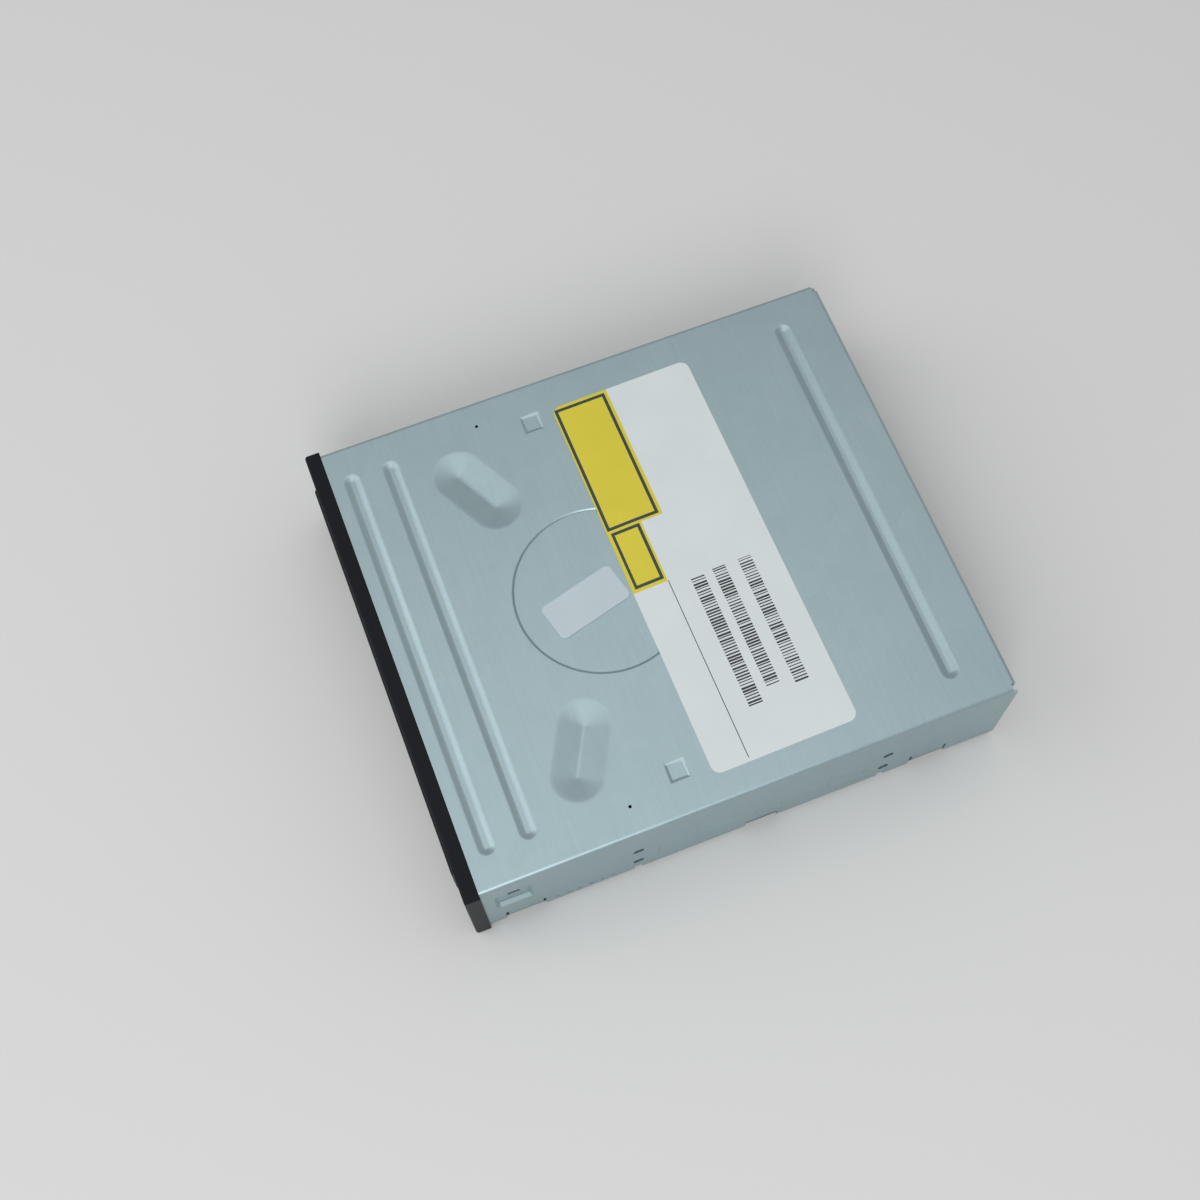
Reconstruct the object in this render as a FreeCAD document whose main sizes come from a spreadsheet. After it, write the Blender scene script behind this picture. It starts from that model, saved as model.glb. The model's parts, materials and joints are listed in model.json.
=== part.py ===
import FreeCAD, Part
import math
import os
import Sketcher

from FreeCAD import Placement, Rotation, Vector

# Half-height optical disc drive, millimetres. X runs across, Y from the front to the rear, Z up.
# Every y below is measured from the rear face of the bezel, which is where a drive bay stops it.

doc = FreeCAD.newDocument("disc_drive")
sheet = doc.addObject("Spreadsheet::Sheet", "Sizes")

dimensions = [
    # steel case
    ("cover_width", 146.0), ("cover_height", 41.3), ("cover_depth", 165.0), ("steel", 0.8),
    ("bend_radius", 1.4), ("side_lift", 1.8), ("rear_flap_low", 15.8), ("flap_inset", 1.6),
    ("rib_half", 2.9), ("rib_reach", 60.5), ("rib_depth", 0.8), ("rib_front", 6.5),
    ("rib_second", 18.9), ("rib_rear", 148.9), ("press_slope", 42.0),
    ("dimple_x", 44.0), ("dimple_y", 41.0), ("dimple_length", 32.0), ("dimple_width", 17.0),
    ("dimple_depth", 1.9), ("dimple_turn", 28.0), ("dimple_slope", 74.0),
    ("step_radius", 26.7), ("step_depth", 0.3), ("pad_x", 59.5), ("pad_size", 6.8), ("pad_depth", 0.5),
    ("hole_first", 47.4), ("hole_pitch", 79.25), ("hole_low", 10.0), ("hole_high", 21.84),
    ("bottom_span", 139.7), ("mount_radius", 1.5), ("mount_clear", 0.2),
    ("latch_front", 3.5), ("latch_back", 15.0), ("latch_low", 18.0), ("latch_high", 32.0),
    ("latch_press", 1.2), ("window_front", 7.7), ("window_back", 11.3), ("window_low", 25.0),
    ("window_high", 31.0), ("pip_radius", 0.5), ("pip_first", 21.5), ("pip_pitch", 3.6), ("pip_height", 4.6),
    ("notch_front", 5.5), ("notch_width", 12.5), ("notch_height", 5.0), ("slit_height", 8.5),
    ("slit_width", 0.8), ("tab_reach", 2.4), ("middle_notch", 82.0), ("middle_width", 10.5),
    ("middle_height", 5.5), ("rear_notch", 136.0), ("rear_width", 12.0), ("nick_size", 2.4),
    ("hem_height", 6.0), ("ear_half", 6.0), ("ear_top", 26.0), ("rear_hem", 3.2),
    ("floor_rib_half", 3.2), ("floor_rib_depth", 0.5),
    ("corner_screw_x", 62.5), ("corner_screw_front", 11.0), ("corner_screw_rear", 146.5),
    # bezel, tray front, button, light
    ("bezel_width", 148.0), ("bezel_depth", 4.7), ("bezel_low", 0.4), ("bezel_skin", 2.4),
    ("bezel_rim", 2.2), ("bezel_round", 0.9), ("door_width", 128.0), ("door_low", 20.5), ("door_high", 38.0),
    ("door_gap", 0.5), ("door_proud", 0.6), ("door_thick", 3.1), ("door_round", 0.8),
    ("arm_inset", 0.2), ("arm_thick", 1.2), ("arm_gap", 0.4),
    ("button_x", 52.0), ("control_z", 11.5), ("button_width", 13.0), ("button_height", 5.4),
    ("button_travel", 0.8), ("button_gap", 0.3), ("stem_radius", 1.6), ("light_x", 33.0),
    ("light_width", 3.6), ("light_height", 1.6), ("release_x", 12.0), ("release_radius", 0.75),
    # main frame
    ("frame_half", 69.4), ("frame_wall", 2.0), ("frame_top", 30.0), ("frame_front", 5.0),
    ("frame_rear", 152.0), ("deck_low", 10.0), ("deck_thick", 2.0), ("beam_front", 28.5),
    ("beam_thick", 1.8), ("beam_top", 16.0), ("ledge_low", 19.8), ("boss_radius", 3.4),
    ("screw_core", 1.0), ("bolt_relief", 2.2),
    # disc tray
    ("tray_half", 62.2), ("runner_width", 1.7), ("runner_thick", 2.0), ("runner_gap", 0.3),
    ("tray_bottom", 22.0), ("tray_top", 29.3), ("tray_back", 150.0), ("tray_wall", 2.0),
    ("disc_floor", 26.8), ("disc_recess", 60.6), ("small_floor", 25.9), ("small_recess", 40.5),
    ("floor_under", 24.6), ("rear_under", 27.6), ("slot_half", 14.0), ("slot_back", 130.0), ("eye_radius", 19.0),
    ("tray_wall_top", 33.0), ("finger_radius", 11.0), ("finger_reach", 44.0), ("tray_travel", 130.0),
    # loading gear train
    ("gear_y", 17.6), ("tray_gear_x", -44.9), ("rack_module", 1.0), ("rack_teeth", 44), ("pinion_teeth", 14),
    ("wheel_module", 0.8), ("wheel_teeth", 30), ("small_teeth", 12), ("mesh_slack", 0.1),
    ("wheel_low", 16.4), ("wheel_high", 19.6), ("pulley_low", 12.4), ("pulley_high", 15.6),
    ("pulley_radius", 9.0), ("pulley_lip", 0.8), ("motor_pulley_radius", 3.0), ("belt_span", 24.0),
    ("belt_size", 1.2), ("belt_gap", 0.3), ("post_radius", 1.5), ("bore_clear", 0.05),
    ("motor_radius", 10.0), ("motor_low", 1.6), ("shaft_radius", 1.0),
    # cam slider
    ("cam_gap", 0.5), ("cam_thick", 1.8), ("cam_left", -62.8), ("cam_right", 42.0), ("cam_low", 1.2),
    ("cam_top", 17.6), ("cam_travel", 24.0), ("cam_rack_teeth", 4), ("rack_clear", 0.2), ("cam_flange_left", -12.0),
    ("cam_pin_left", -4.0), ("cam_pin_right", 28.0), ("cam_pin_radius", 1.5), ("cam_pin_clear", 0.35),
    # traverse, drawn level: it rests swung down about its hinge
    ("spindle_y", 64.3), ("spindle_drop", 7.2), ("hinge_y", 146.0), ("hinge_z", 14.0),
    ("lift_left", -38.0), ("lift_right", 46.0), ("lift_front", 36.0), ("lift_back", 151.0),
    ("lift_bar", 5.0), ("lift_end", 9.0), ("lift_front_bar", 11.0), ("lift_low", 12.0), ("lift_high", 16.0),
    ("trunnion_radius", 2.0), ("trunnion_gap", 3.0), ("ear_thick", 3.0),
    ("damper_radius", 4.0), ("damper_neck", 2.9), ("damper_lip", 1.0),
    ("plate_left", -34.0), ("plate_right", 42.5), ("plate_thick", 1.2),
    ("rod_x", 26.5), ("rod_z", 20.0), ("rod_radius", 1.5), ("rod_hold", 3.0),
    ("screw_x", 34.5), ("screw_z", 20.6), ("sled_motor_radius", 3.4), ("sled_motor_length", 15.0),
    ("bracket_steel", 0.8), ("lens_rest", 22.0), ("sled_travel", 36.5), ("sled_front", 8.0), ("sled_back", 18.0),
    ("sled_half", 22.0), ("sled_low", 13.0), ("sled_high", 24.0), ("slide_clear", 0.03),
    ("rotor_radius", 13.0), ("rotor_low", 20.6), ("rotor_high", 25.0), ("rotor_wall", 0.8),
    ("turntable_radius", 14.5), ("seat_z", 28.4), ("seat_ring", 0.5), ("hub_radius", 7.4), ("hub_top", 30.9),
    # clamp
    ("bridge_low", 33.0), ("bridge_thick", 2.0), ("bridge_arm", 9.0), ("bridge_eye", 15.3),
    ("bridge_ring", 6.0), ("bridge_screw_x", 65.0), ("disc_thick", 1.2), ("clamp_gap", 0.3), ("clamper_radius", 14.6),
    ("clamper_flange", 17.6), ("clamper_thick", 1.3), ("magnet_radius", 7.2),
    # electronics
    ("board_half", 66.6), ("board_front", 90.0), ("board_rear", 162.5), ("board_low", 2.6),
    ("board_thick", 1.6), ("front_board_left", 24.0), ("front_board_right", 62.0),
    ("front_board_low", 4.2), ("front_board_high", 18.0), ("front_board_thick", 1.2),
    ("pin_pitch", 2.54), ("pin_size", 0.64), ("data_x", -8.8), ("data_width", 58.5), ("data_height", 9.2),
    ("data_length", 9.5), ("shell_wall", 1.2), ("power_x", -54.5), ("power_width", 22.2),
    ("power_height", 10.4), ("power_length", 14.0), ("power_proud", 1.0), ("power_pitch", 5.08),
    ("power_pin", 1.05), ("jumper_x", 28.3), ("analogue_x", 43.5), ("digital_x", 57.0),
    ("socket_height", 6.0), ("socket_length", 8.0),
    # labels
    ("label_thick", 0.12), ("label_length", 126.5), ("label_depth", 45.0), ("label_x", 1.25),
    ("label_y", 95.0), ("label_turn", 0.9), ("label_round", 2.8),
    ("sticker_width", 12.2), ("sticker_depth", 24.5), ("sticker_x", 2.1), ("sticker_y", 58.5),
    ("sticker_turn", 14.5), ("sticker_round", 1.6),
]


class Size:
    # a number and the sheet expression that gives it

    def __init__(self, text, value):
        self.text = text
        self.value = value

    def __float__(self):
        return float(self.value)

    def __add__(self, other):
        return combine(self, "+", other)

    def __radd__(self, other):
        return combine(other, "+", self)

    def __sub__(self, other):
        return combine(self, "-", other)

    def __rsub__(self, other):
        return combine(other, "-", self)

    def __mul__(self, other):
        return combine(self, "*", other)

    def __rmul__(self, other):
        return combine(other, "*", self)

    def __truediv__(self, other):
        return combine(self, "/", other)

    def __neg__(self):
        return combine(0, "-", self)


def as_size(number):
    if isinstance(number, Size):
        return number
    text = "%.6f" % number if number >= 0 else "(0 - %.6f)" % -number
    return Size(text, number)


def combine(left, sign, right):
    left = as_size(left)
    right = as_size(right)
    values = {
        "+": left.value + right.value,
        "-": left.value - right.value,
        "*": left.value * right.value,
        "/": left.value / right.value if right.value else 0,
    }
    return Size("(%s %s %s)" % (left.text, sign, right.text), values[sign])


class Dimensions:
    pass


d = Dimensions()
for row, (name, value) in enumerate(dimensions, 1):
    sheet.set("A%d" % row, name)
    sheet.set("B%d" % row, str(value))
    sheet.setAlias("B%d" % row, name)
    setattr(d, name, Size("Sizes." + name, value))
doc.recompute()

# places that several pieces share
half_width = d.cover_width / 2
inner_half = half_width - d.steel
cover_under = d.cover_height - d.steel
door_front = d.bezel_depth + d.door_proud
rear_reach = d.cover_depth + d.power_proud
origin_shift = (door_front - rear_reach) / 2
frame_inner = d.frame_half - d.frame_wall
deck_top = d.deck_low + d.deck_thick
frame_back_wall = d.frame_rear - d.frame_wall
board_top = d.board_low + d.board_thick
hole_rows = (d.hole_first, d.hole_first + d.hole_pitch)
runner_top = d.tray_bottom + d.runner_thick
rack_line = d.tray_gear_x - d.rack_module * d.pinion_teeth / 2 - d.mesh_slack
pulley_gear_x = d.tray_gear_x + d.wheel_module * (d.wheel_teeth + d.small_teeth) / 2 + d.mesh_slack
motor_x = pulley_gear_x + d.belt_span
beam_back = d.beam_front + d.beam_thick
cam_front = beam_back + d.cam_gap
cam_back = cam_front + d.cam_thick
plate_low = d.lift_high + d.damper_lip
plate_top = plate_low + d.plate_thick
plate_front = d.lift_front + 2
plate_back = d.lift_back - 0.5
opening_back = d.lift_back - d.lift_end + 0.5
hold_front = d.spindle_y + d.turntable_radius + 0.2
hold_back = opening_back + d.rod_hold
lens_y = d.spindle_y + d.lens_rest
ring_low = d.seat_z - d.seat_ring
bridge_top = d.bridge_low + d.bridge_thick
clamp_face = d.seat_z + d.disc_thick + d.clamp_gap
clamp_flange_low = bridge_top + d.clamp_gap
clamp_flange_top = clamp_flange_low + d.clamper_thick
rail_in = d.tray_half + 0.3
bridge_arm = (d.spindle_y - d.bridge_arm, d.spindle_y + d.bridge_arm)
bridge_screws = [(side * d.bridge_screw_x, d.spindle_y + ahead * 5.0) for side in (-1, 1) for ahead in (-1, 1)]
damper_places = [
    (-24.0, d.lift_front + d.lift_front_bar / 2 + 1.5), (28.0, d.lift_front + d.lift_front_bar / 2 + 1.5),
    (-17.0, d.lift_back - d.lift_end / 2), (17.0, d.lift_back - d.lift_end / 2),
]
# the angle by which the traverse rests swung down about its hinge
tilt_sine = d.spindle_drop / (d.hinge_y - d.spindle_y)
tilt_cosine = Size("sqrt(1 - %s ^ 2)" % tilt_sine.text, math.sqrt(1 - tilt_sine.value ** 2))
tilt_angle = Size("asin(%s)" % tilt_sine.text, math.degrees(math.asin(tilt_sine.value)))


# Sketch outlines


def place_point(sketch, item, end, point, rules):
    for kind, size in (("DistanceX", point[0]), ("DistanceY", point[1])):
        size = as_size(size)
        rules.append((Sketcher.Constraint(kind, -1, 1, item, end, float(size)), size.text))


def add_rules(sketch, rules):
    first = sketch.ConstraintCount
    sketch.addConstraint([rule for rule, text in rules])
    for number, (rule, text) in enumerate(rules):
        if text:
            sketch.setExpression("Constraints[%d]" % (first + number), text)


def flat(point):
    return Vector(float(point[0]), float(point[1]), 0)


def polygon(*corners):
    def draw(sketch):
        first = sketch.GeometryCount
        count = len(corners)
        rules = []
        for i in range(count):
            sketch.addGeometry(Part.LineSegment(flat(corners[i]), flat(corners[(i + 1) % count])), False)
        for i in range(count):
            following = first + (i + 1) % count
            rules.append((Sketcher.Constraint("Coincident", first + i, 2, following, 1), None))
            place_point(sketch, first + i, 1, corners[i], rules)
        add_rules(sketch, rules)
    return draw


def rectangle(left, low, right, high):
    return polygon((left, low), (right, low), (right, high), (left, high))


def circle(x, y, radius):
    def draw(sketch):
        item = sketch.addGeometry(Part.Circle(flat((x, y)), Vector(0, 0, 1), float(radius)), False)
        rules = []
        place_point(sketch, item, 3, (x, y), rules)
        radius_size = as_size(radius)
        rules.append((Sketcher.Constraint("Radius", item, float(radius_size)), radius_size.text))
        add_rules(sketch, rules)
    return draw


def rounded(centres, *radii):
    # the outline round a disc at each centre, listed anticlockwise; one radius serves them all
    def draw(sketch):
        points = [flat(centre) for centre in centres]
        count = len(points)
        sizes = [as_size(radii[i % len(radii)]) for i in range(count)]
        first = sketch.GeometryCount
        rules = []
        turns = []
        for i in range(count):
            after = (i + 1) % count
            run = points[after] - points[i]
            lean = math.acos((float(sizes[i]) - float(sizes[after])) / run.Length)
            turns.append(math.atan2(run.y, run.x) - lean)
        for i in range(count):
            begin = turns[i - 1]
            finish = turns[i]
            while finish <= begin:
                finish += 2 * math.pi
            disc = Part.Circle(points[i], Vector(0, 0, 1), float(sizes[i]))
            sketch.addGeometry(Part.ArcOfCircle(disc, begin, finish), False)
        for i in range(count):
            after = (i + 1) % count
            out = Vector(math.cos(turns[i]), math.sin(turns[i]), 0)
            line = Part.LineSegment(points[i] + out * float(sizes[i]), points[after] + out * float(sizes[after]))
            sketch.addGeometry(line, False)
        for i in range(count):
            line = first + count + i
            rules.append((Sketcher.Constraint("Tangent", first + i, 2, line, 1), None))
            rules.append((Sketcher.Constraint("Tangent", line, 2, first + (i + 1) % count, 1), None))
        for i in range(count):
            place_point(sketch, first + i, 3, centres[i], rules)
            rules.append((Sketcher.Constraint("Radius", first + i, float(sizes[i])), sizes[i].text))
        add_rules(sketch, rules)
    return draw


def rounded_rectangle(left, low, right, high, radius):
    corners = [(left + radius, low + radius), (right - radius, low + radius),
               (right - radius, high - radius), (left + radius, high - radius)]
    return rounded(corners, radius)


def span(one, other):
    return sorted((as_size(one), as_size(other)), key=float)


def both_sides(one, other, low, high):
    outlines = []
    for side in (-1, 1):
        across = span(side * one, side * other)
        outlines.append(rectangle(across[0], low, across[1], high))
    return outlines


# Bodies and their features

pieces = {}
planes = {"x": "YZ_Plane", "y": "XZ_Plane", "z": "XY_Plane"}


def new_body(name, group=False):
    body = doc.addObject("PartDesign::Body", name)
    body.Label = name
    body.AllowCompound = group
    pieces[name] = body
    return body


def role(body, wanted):
    return [item for item in body.Origin.OriginFeatures if item.Role == wanted][0]


def new_sketch(body, axis, level, outlines):
    sketch = body.newObject("Sketcher::SketchObject", body.Name + "_sketch")
    sketch.AttachmentSupport = [(role(body, planes[axis]), "")]
    sketch.MapMode = "FlatFace"
    offset = -as_size(level) if axis == "y" else as_size(level)
    sketch.AttachmentOffset = Placement(Vector(0, 0, float(offset)), Rotation())
    sketch.setExpression("AttachmentOffset.Base.z", offset.text)
    for outline in outlines:
        outline(sketch)
    return sketch


def extrude(body, kind, axis, start, end, outlines, slope):
    start = as_size(start)
    end = as_size(end)
    sketch = new_sketch(body, axis, start, outlines)
    feature = body.newObject("PartDesign::" + kind, body.Name + "_" + kind.lower())
    feature.Profile = sketch
    forward = float(end) > float(start)
    length = end - start if forward else start - end
    feature.Length = float(length)
    feature.setExpression("Length", length.text)
    # the XZ plane faces the front, and a pocket runs against its sketch's normal
    with_normal = forward != (axis == "y")
    feature.Reversed = with_normal if kind == "Pocket" else not with_normal
    if slope is not None:
        slope = as_size(slope)
        feature.TaperAngle = -float(slope)
        feature.setExpression("TaperAngle", (-slope).text)
    sketch.Visibility = False
    return feature


# a slope leans the sides inward, by that angle from the direction of the pad or pocket
def pad(body, axis, start, end, *outlines, slope=None):
    return extrude(body, "Pad", axis, start, end, outlines, slope)


def pocket(body, axis, start, end, *outlines, slope=None):
    return extrude(body, "Pocket", axis, start, end, outlines, slope)


def turned(body, *corners):
    # a solid of revolution about the body's own Z axis, from its half section
    sketch = new_sketch(body, "y", 0, [polygon(*corners)])
    feature = body.newObject("PartDesign::Revolution", body.Name + "_turned")
    feature.Profile = sketch
    feature.ReferenceAxis = (sketch, ["V_Axis"])
    feature.Angle = 360
    return feature


def set_pattern(body, kind, feature, amount, value, count):
    result = body.newObject("PartDesign::" + kind, body.Name + "_pattern")
    result.Originals = [feature]
    setattr(result, amount, float(value))
    result.setExpression(amount, as_size(value).text)
    result.Occurrences = int(float(count))
    result.setExpression("Occurrences", as_size(count).text)
    body.Tip = result
    return result


def row_of(body, feature, axis, step, count):
    length = as_size(step) * (as_size(count) - 1)
    result = set_pattern(body, "LinearPattern", feature, "Length", length, count)
    result.Direction = (role(body, axis), [""])


def ring_of(body, feature, count):
    result = set_pattern(body, "PolarPattern", feature, "Angle", 360, count)
    result.Axis = (role(body, "Z_Axis"), [""])


def edge_names(shape, chosen):
    return ["Edge%d" % (i + 1) for i, edge in enumerate(shape.Edges) if chosen(edge)]


def dress(body, kind, size, chosen):
    doc.recompute()
    base = body.Tip
    names = edge_names(base.Shape, chosen)
    feature = body.newObject("PartDesign::" + kind, body.Name + "_" + kind.lower())
    feature.Base = (base, names)
    prop = "Radius" if kind == "Fillet" else "Size"
    setattr(feature, prop, float(size))
    feature.setExpression(prop, as_size(size).text)
    return feature


def fillet(body, radius, chosen):
    return dress(body, "Fillet", radius, chosen)


def chamfer(body, size, chosen):
    return dress(body, "Chamfer", size, chosen)


def near(value, wanted):
    return abs(value - float(wanted)) < 0.01


def runs_along(edge, axis):
    box = edge.BoundBox
    lengths = {"x": box.XLength, "y": box.YLength, "z": box.ZLength}
    return all(lengths[other] < 0.001 for other in "xyz".replace(axis, "")) and lengths[axis] > 0.001


def edges_at(axis, **at):
    # edges along an axis whose middle has these coordinates, in absolute value for x
    def chosen(edge):
        middle = edge.BoundBox.Center
        places = {"x": abs(middle.x), "y": middle.y, "z": middle.z}
        return runs_along(edge, axis) and all(near(places[key], value) for key, value in at.items())
    return chosen


def place(piece, x=0, y=0, z=0, axis=Vector(0, 0, 1), angle=None):
    target = (as_size(x), as_size(y) + origin_shift, as_size(z))
    turn = Rotation(axis, float(angle)) if angle is not None else Rotation()
    piece.Placement = Placement(Vector(*[float(size) for size in target]), turn)
    for letter, size in zip("xyz", target):
        piece.setExpression("Placement.Base." + letter, size.text)
    if angle is not None:
        piece.setExpression("Placement.Rotation.Angle", angle.text)


def place_on_traverse(piece, x=0, y=0, z=0):
    # drawn in the level traverse, then swung down about the hinge line
    run = y - d.hinge_y
    rise = z - d.hinge_z
    place(piece, x, d.hinge_y + run * tilt_cosine - rise * tilt_sine,
          d.hinge_z + run * tilt_sine + rise * tilt_cosine, Vector(1, 0, 0), tilt_angle)


# Steel case


def dimple_outline(side):
    # a capsule slanted so that its inner end lies further back
    turn = math.radians(d.dimple_turn.value)
    reach = (d.dimple_length - d.dimple_width) / 2
    run_x = reach * math.cos(turn)
    run_y = -side * reach * math.sin(turn)
    x = side * d.dimple_x
    ends = [(x - run_x, d.dimple_y - run_y), (x + run_x, d.dimple_y + run_y)]
    return rounded(ends, d.dimple_width / 2)


def pressed(body, depth, slope, *outlines):
    # the sheet keeps its thickness: the same form stands proud below and is sunk above
    pad(body, "z", cover_under + 0.1, cover_under - depth, *outlines, slope=slope)
    pocket(body, "z", d.cover_height, d.cover_height - depth, *outlines, slope=slope)


def make_top_cover():
    body = new_body("top_cover")
    outer = [(-half_width, d.side_lift), (-inner_half, d.side_lift), (-inner_half, cover_under),
             (inner_half, cover_under), (inner_half, d.side_lift), (half_width, d.side_lift),
             (half_width, d.cover_height), (-half_width, d.cover_height)]
    pad(body, "y", 0, d.cover_depth, polygon(*outer))
    fillet(body, d.bend_radius, edges_at("y", x=half_width, z=d.cover_height))
    fillet(body, d.bend_radius - d.steel, edges_at("y", x=inner_half, z=cover_under))
    # the rear flap, bent down between two corner reliefs
    flap_half = inner_half - d.flap_inset
    pocket(body, "z", cover_under - 1.4, d.cover_height + 1,
           *both_sides(flap_half, half_width + 1, d.cover_depth - 1.6, d.cover_depth + 1))
    pad(body, "y", d.cover_depth - d.steel, d.cover_depth,
        rectangle(-flap_half, d.rear_flap_low, flap_half, cover_under + 0.1))
    fillet(body, d.bend_radius - 0.2, edges_at("x", y=d.cover_depth, z=d.cover_height))
    # openings in both sides are cut straight across, the pressed forms follow
    pocket(body, "x", -half_width - 1, half_width + 1, *side_openings())
    for side in (-1, 1):
        press_side(body, side)
    ribs = [rounded([(-d.rib_reach, y), (d.rib_reach, y)], d.rib_half)
            for y in (d.rib_front, d.rib_second, d.rib_rear)]
    pressed(body, d.rib_depth, d.press_slope, *ribs)
    pressed(body, d.step_depth, None, circle(0, d.spindle_y, d.step_radius))
    pressed(body, d.dimple_depth, d.dimple_slope, dimple_outline(-1), dimple_outline(1))
    half = d.pad_size / 2
    squares = [rounded_rectangle(x - half, d.spindle_y - half, x + half, d.spindle_y + half, as_size(0.6))
               for x in (-d.pad_x, d.pad_x)]
    pressed(body, d.pad_depth, d.press_slope, *squares)
    place(body)


def side_openings():
    low = d.side_lift - 0.1
    nick = d.nick_size / 2
    cuts = [rectangle(d.middle_notch, low, d.middle_notch + d.middle_width, d.middle_height)]
    for row in hole_rows:
        cuts.append(rectangle(row - nick, low, row + nick, d.side_lift + d.nick_size))
        for z in (d.hole_low, d.hole_high):
            cuts.append(circle(row, z, d.mount_radius + d.mount_clear))
    # two lower notches, each with a tab folded in above it between slits
    for begin, width in ((d.notch_front, d.notch_width), (d.rear_notch, d.rear_width)):
        finish = begin + width
        cuts.append(polygon((begin, low), (finish, low), (finish, d.slit_height),
                            (finish - d.slit_width, d.slit_height), (finish - d.slit_width, d.notch_height),
                            (begin + d.slit_width, d.notch_height), (begin + d.slit_width, d.slit_height),
                            (begin, d.slit_height)))
    return cuts


def press_side(body, side):
    # the latch pocket with its window, the folded tabs, and a row of pips along the lower edge
    latch = rounded_rectangle(d.latch_front, d.latch_low, d.latch_back, d.latch_high, as_size(1.4))
    pad(body, "x", side * (inner_half + 0.1), side * (inner_half - d.latch_press), latch, slope=d.press_slope)
    pocket(body, "x", side * half_width, side * (half_width - d.latch_press), latch, slope=d.press_slope)
    pocket(body, "x", side * (inner_half - 2), side * half_width,
           rectangle(d.window_front, d.window_low, d.window_back, d.window_high))
    tabs = [rectangle(begin + d.slit_width, d.notch_height, begin + width - d.slit_width,
                      d.notch_height + d.steel)
            for begin, width in ((d.notch_front, d.notch_width), (d.rear_notch, d.rear_width))]
    pad(body, "x", side * (inner_half + 0.1), side * (inner_half - d.tab_reach), *tabs)
    pips = [circle(d.pip_first + i * d.pip_pitch, d.pip_height, d.pip_radius) for i in range(6)]
    pocket(body, "x", side * half_width, side * (half_width - 0.3), *pips)


def hem_outline(begin, finish, row=None):
    # a low upturned edge, with a tall ear round the mounting holes
    points = [(begin, 0.1), (finish, 0.1), (finish, d.hem_height)]
    if row is not None:
        cut = 1.5
        points += [(row + d.ear_half, d.hem_height), (row + d.ear_half, d.ear_top - cut),
                   (row + d.ear_half - cut, d.ear_top), (row - d.ear_half + cut, d.ear_top),
                   (row - d.ear_half, d.ear_top - cut), (row - d.ear_half, d.hem_height)]
    points.append((begin, d.hem_height))
    return polygon(*points)


def make_bottom_cover():
    body = new_body("bottom_cover")
    back = d.cover_depth - d.steel
    pad(body, "z", 0, d.steel, rectangle(-inner_half, d.steel, inner_half, back))
    pad(body, "y", back - d.steel, back, rectangle(-inner_half, 0.1, inner_half, d.rear_hem))
    margin = 1.2
    hems = [hem_outline(d.notch_front + d.notch_width + margin, d.middle_notch - margin, hole_rows[0]),
            hem_outline(d.middle_notch + d.middle_width + margin, d.rear_notch - margin, hole_rows[1]),
            hem_outline(d.rear_notch + d.rear_width + margin, back)]
    for side in (-1, 1):
        pad(body, "x", side * (inner_half - d.steel), side * inner_half, *hems)
        holes = [circle(row, z, d.mount_radius) for row in hole_rows for z in (d.hole_low, d.hole_high)]
        pocket(body, "x", side * (inner_half - 2), side * (inner_half + 1), *holes)
    fillet(body, as_size(0.7), edges_at("y", x=inner_half, z=0))
    # stiffening ribs pressed upward
    for y, reach in ((38.0, 54.0), (82.0, 44.0), (104.0, 54.0)):
        rib = rounded([(-reach, y), (reach, y)], d.floor_rib_half)
        pad(body, "z", d.steel - 0.05, d.steel + d.floor_rib_depth, rib, slope=d.press_slope)
        pocket(body, "z", 0, d.floor_rib_depth, rib, slope=d.press_slope)
    holes = []
    for side in (-1, 1):
        for row in hole_rows:
            holes.append(circle(side * d.bottom_span / 2, row, d.mount_radius))
        for y in (d.corner_screw_front, d.corner_screw_rear):
            holes.append(circle(side * d.corner_screw_x, y, d.screw_core + 0.4))
    pocket(body, "z", -1, d.steel + 0.05, *holes)
    place(body)


# Bezel, tray front, button and light


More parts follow.
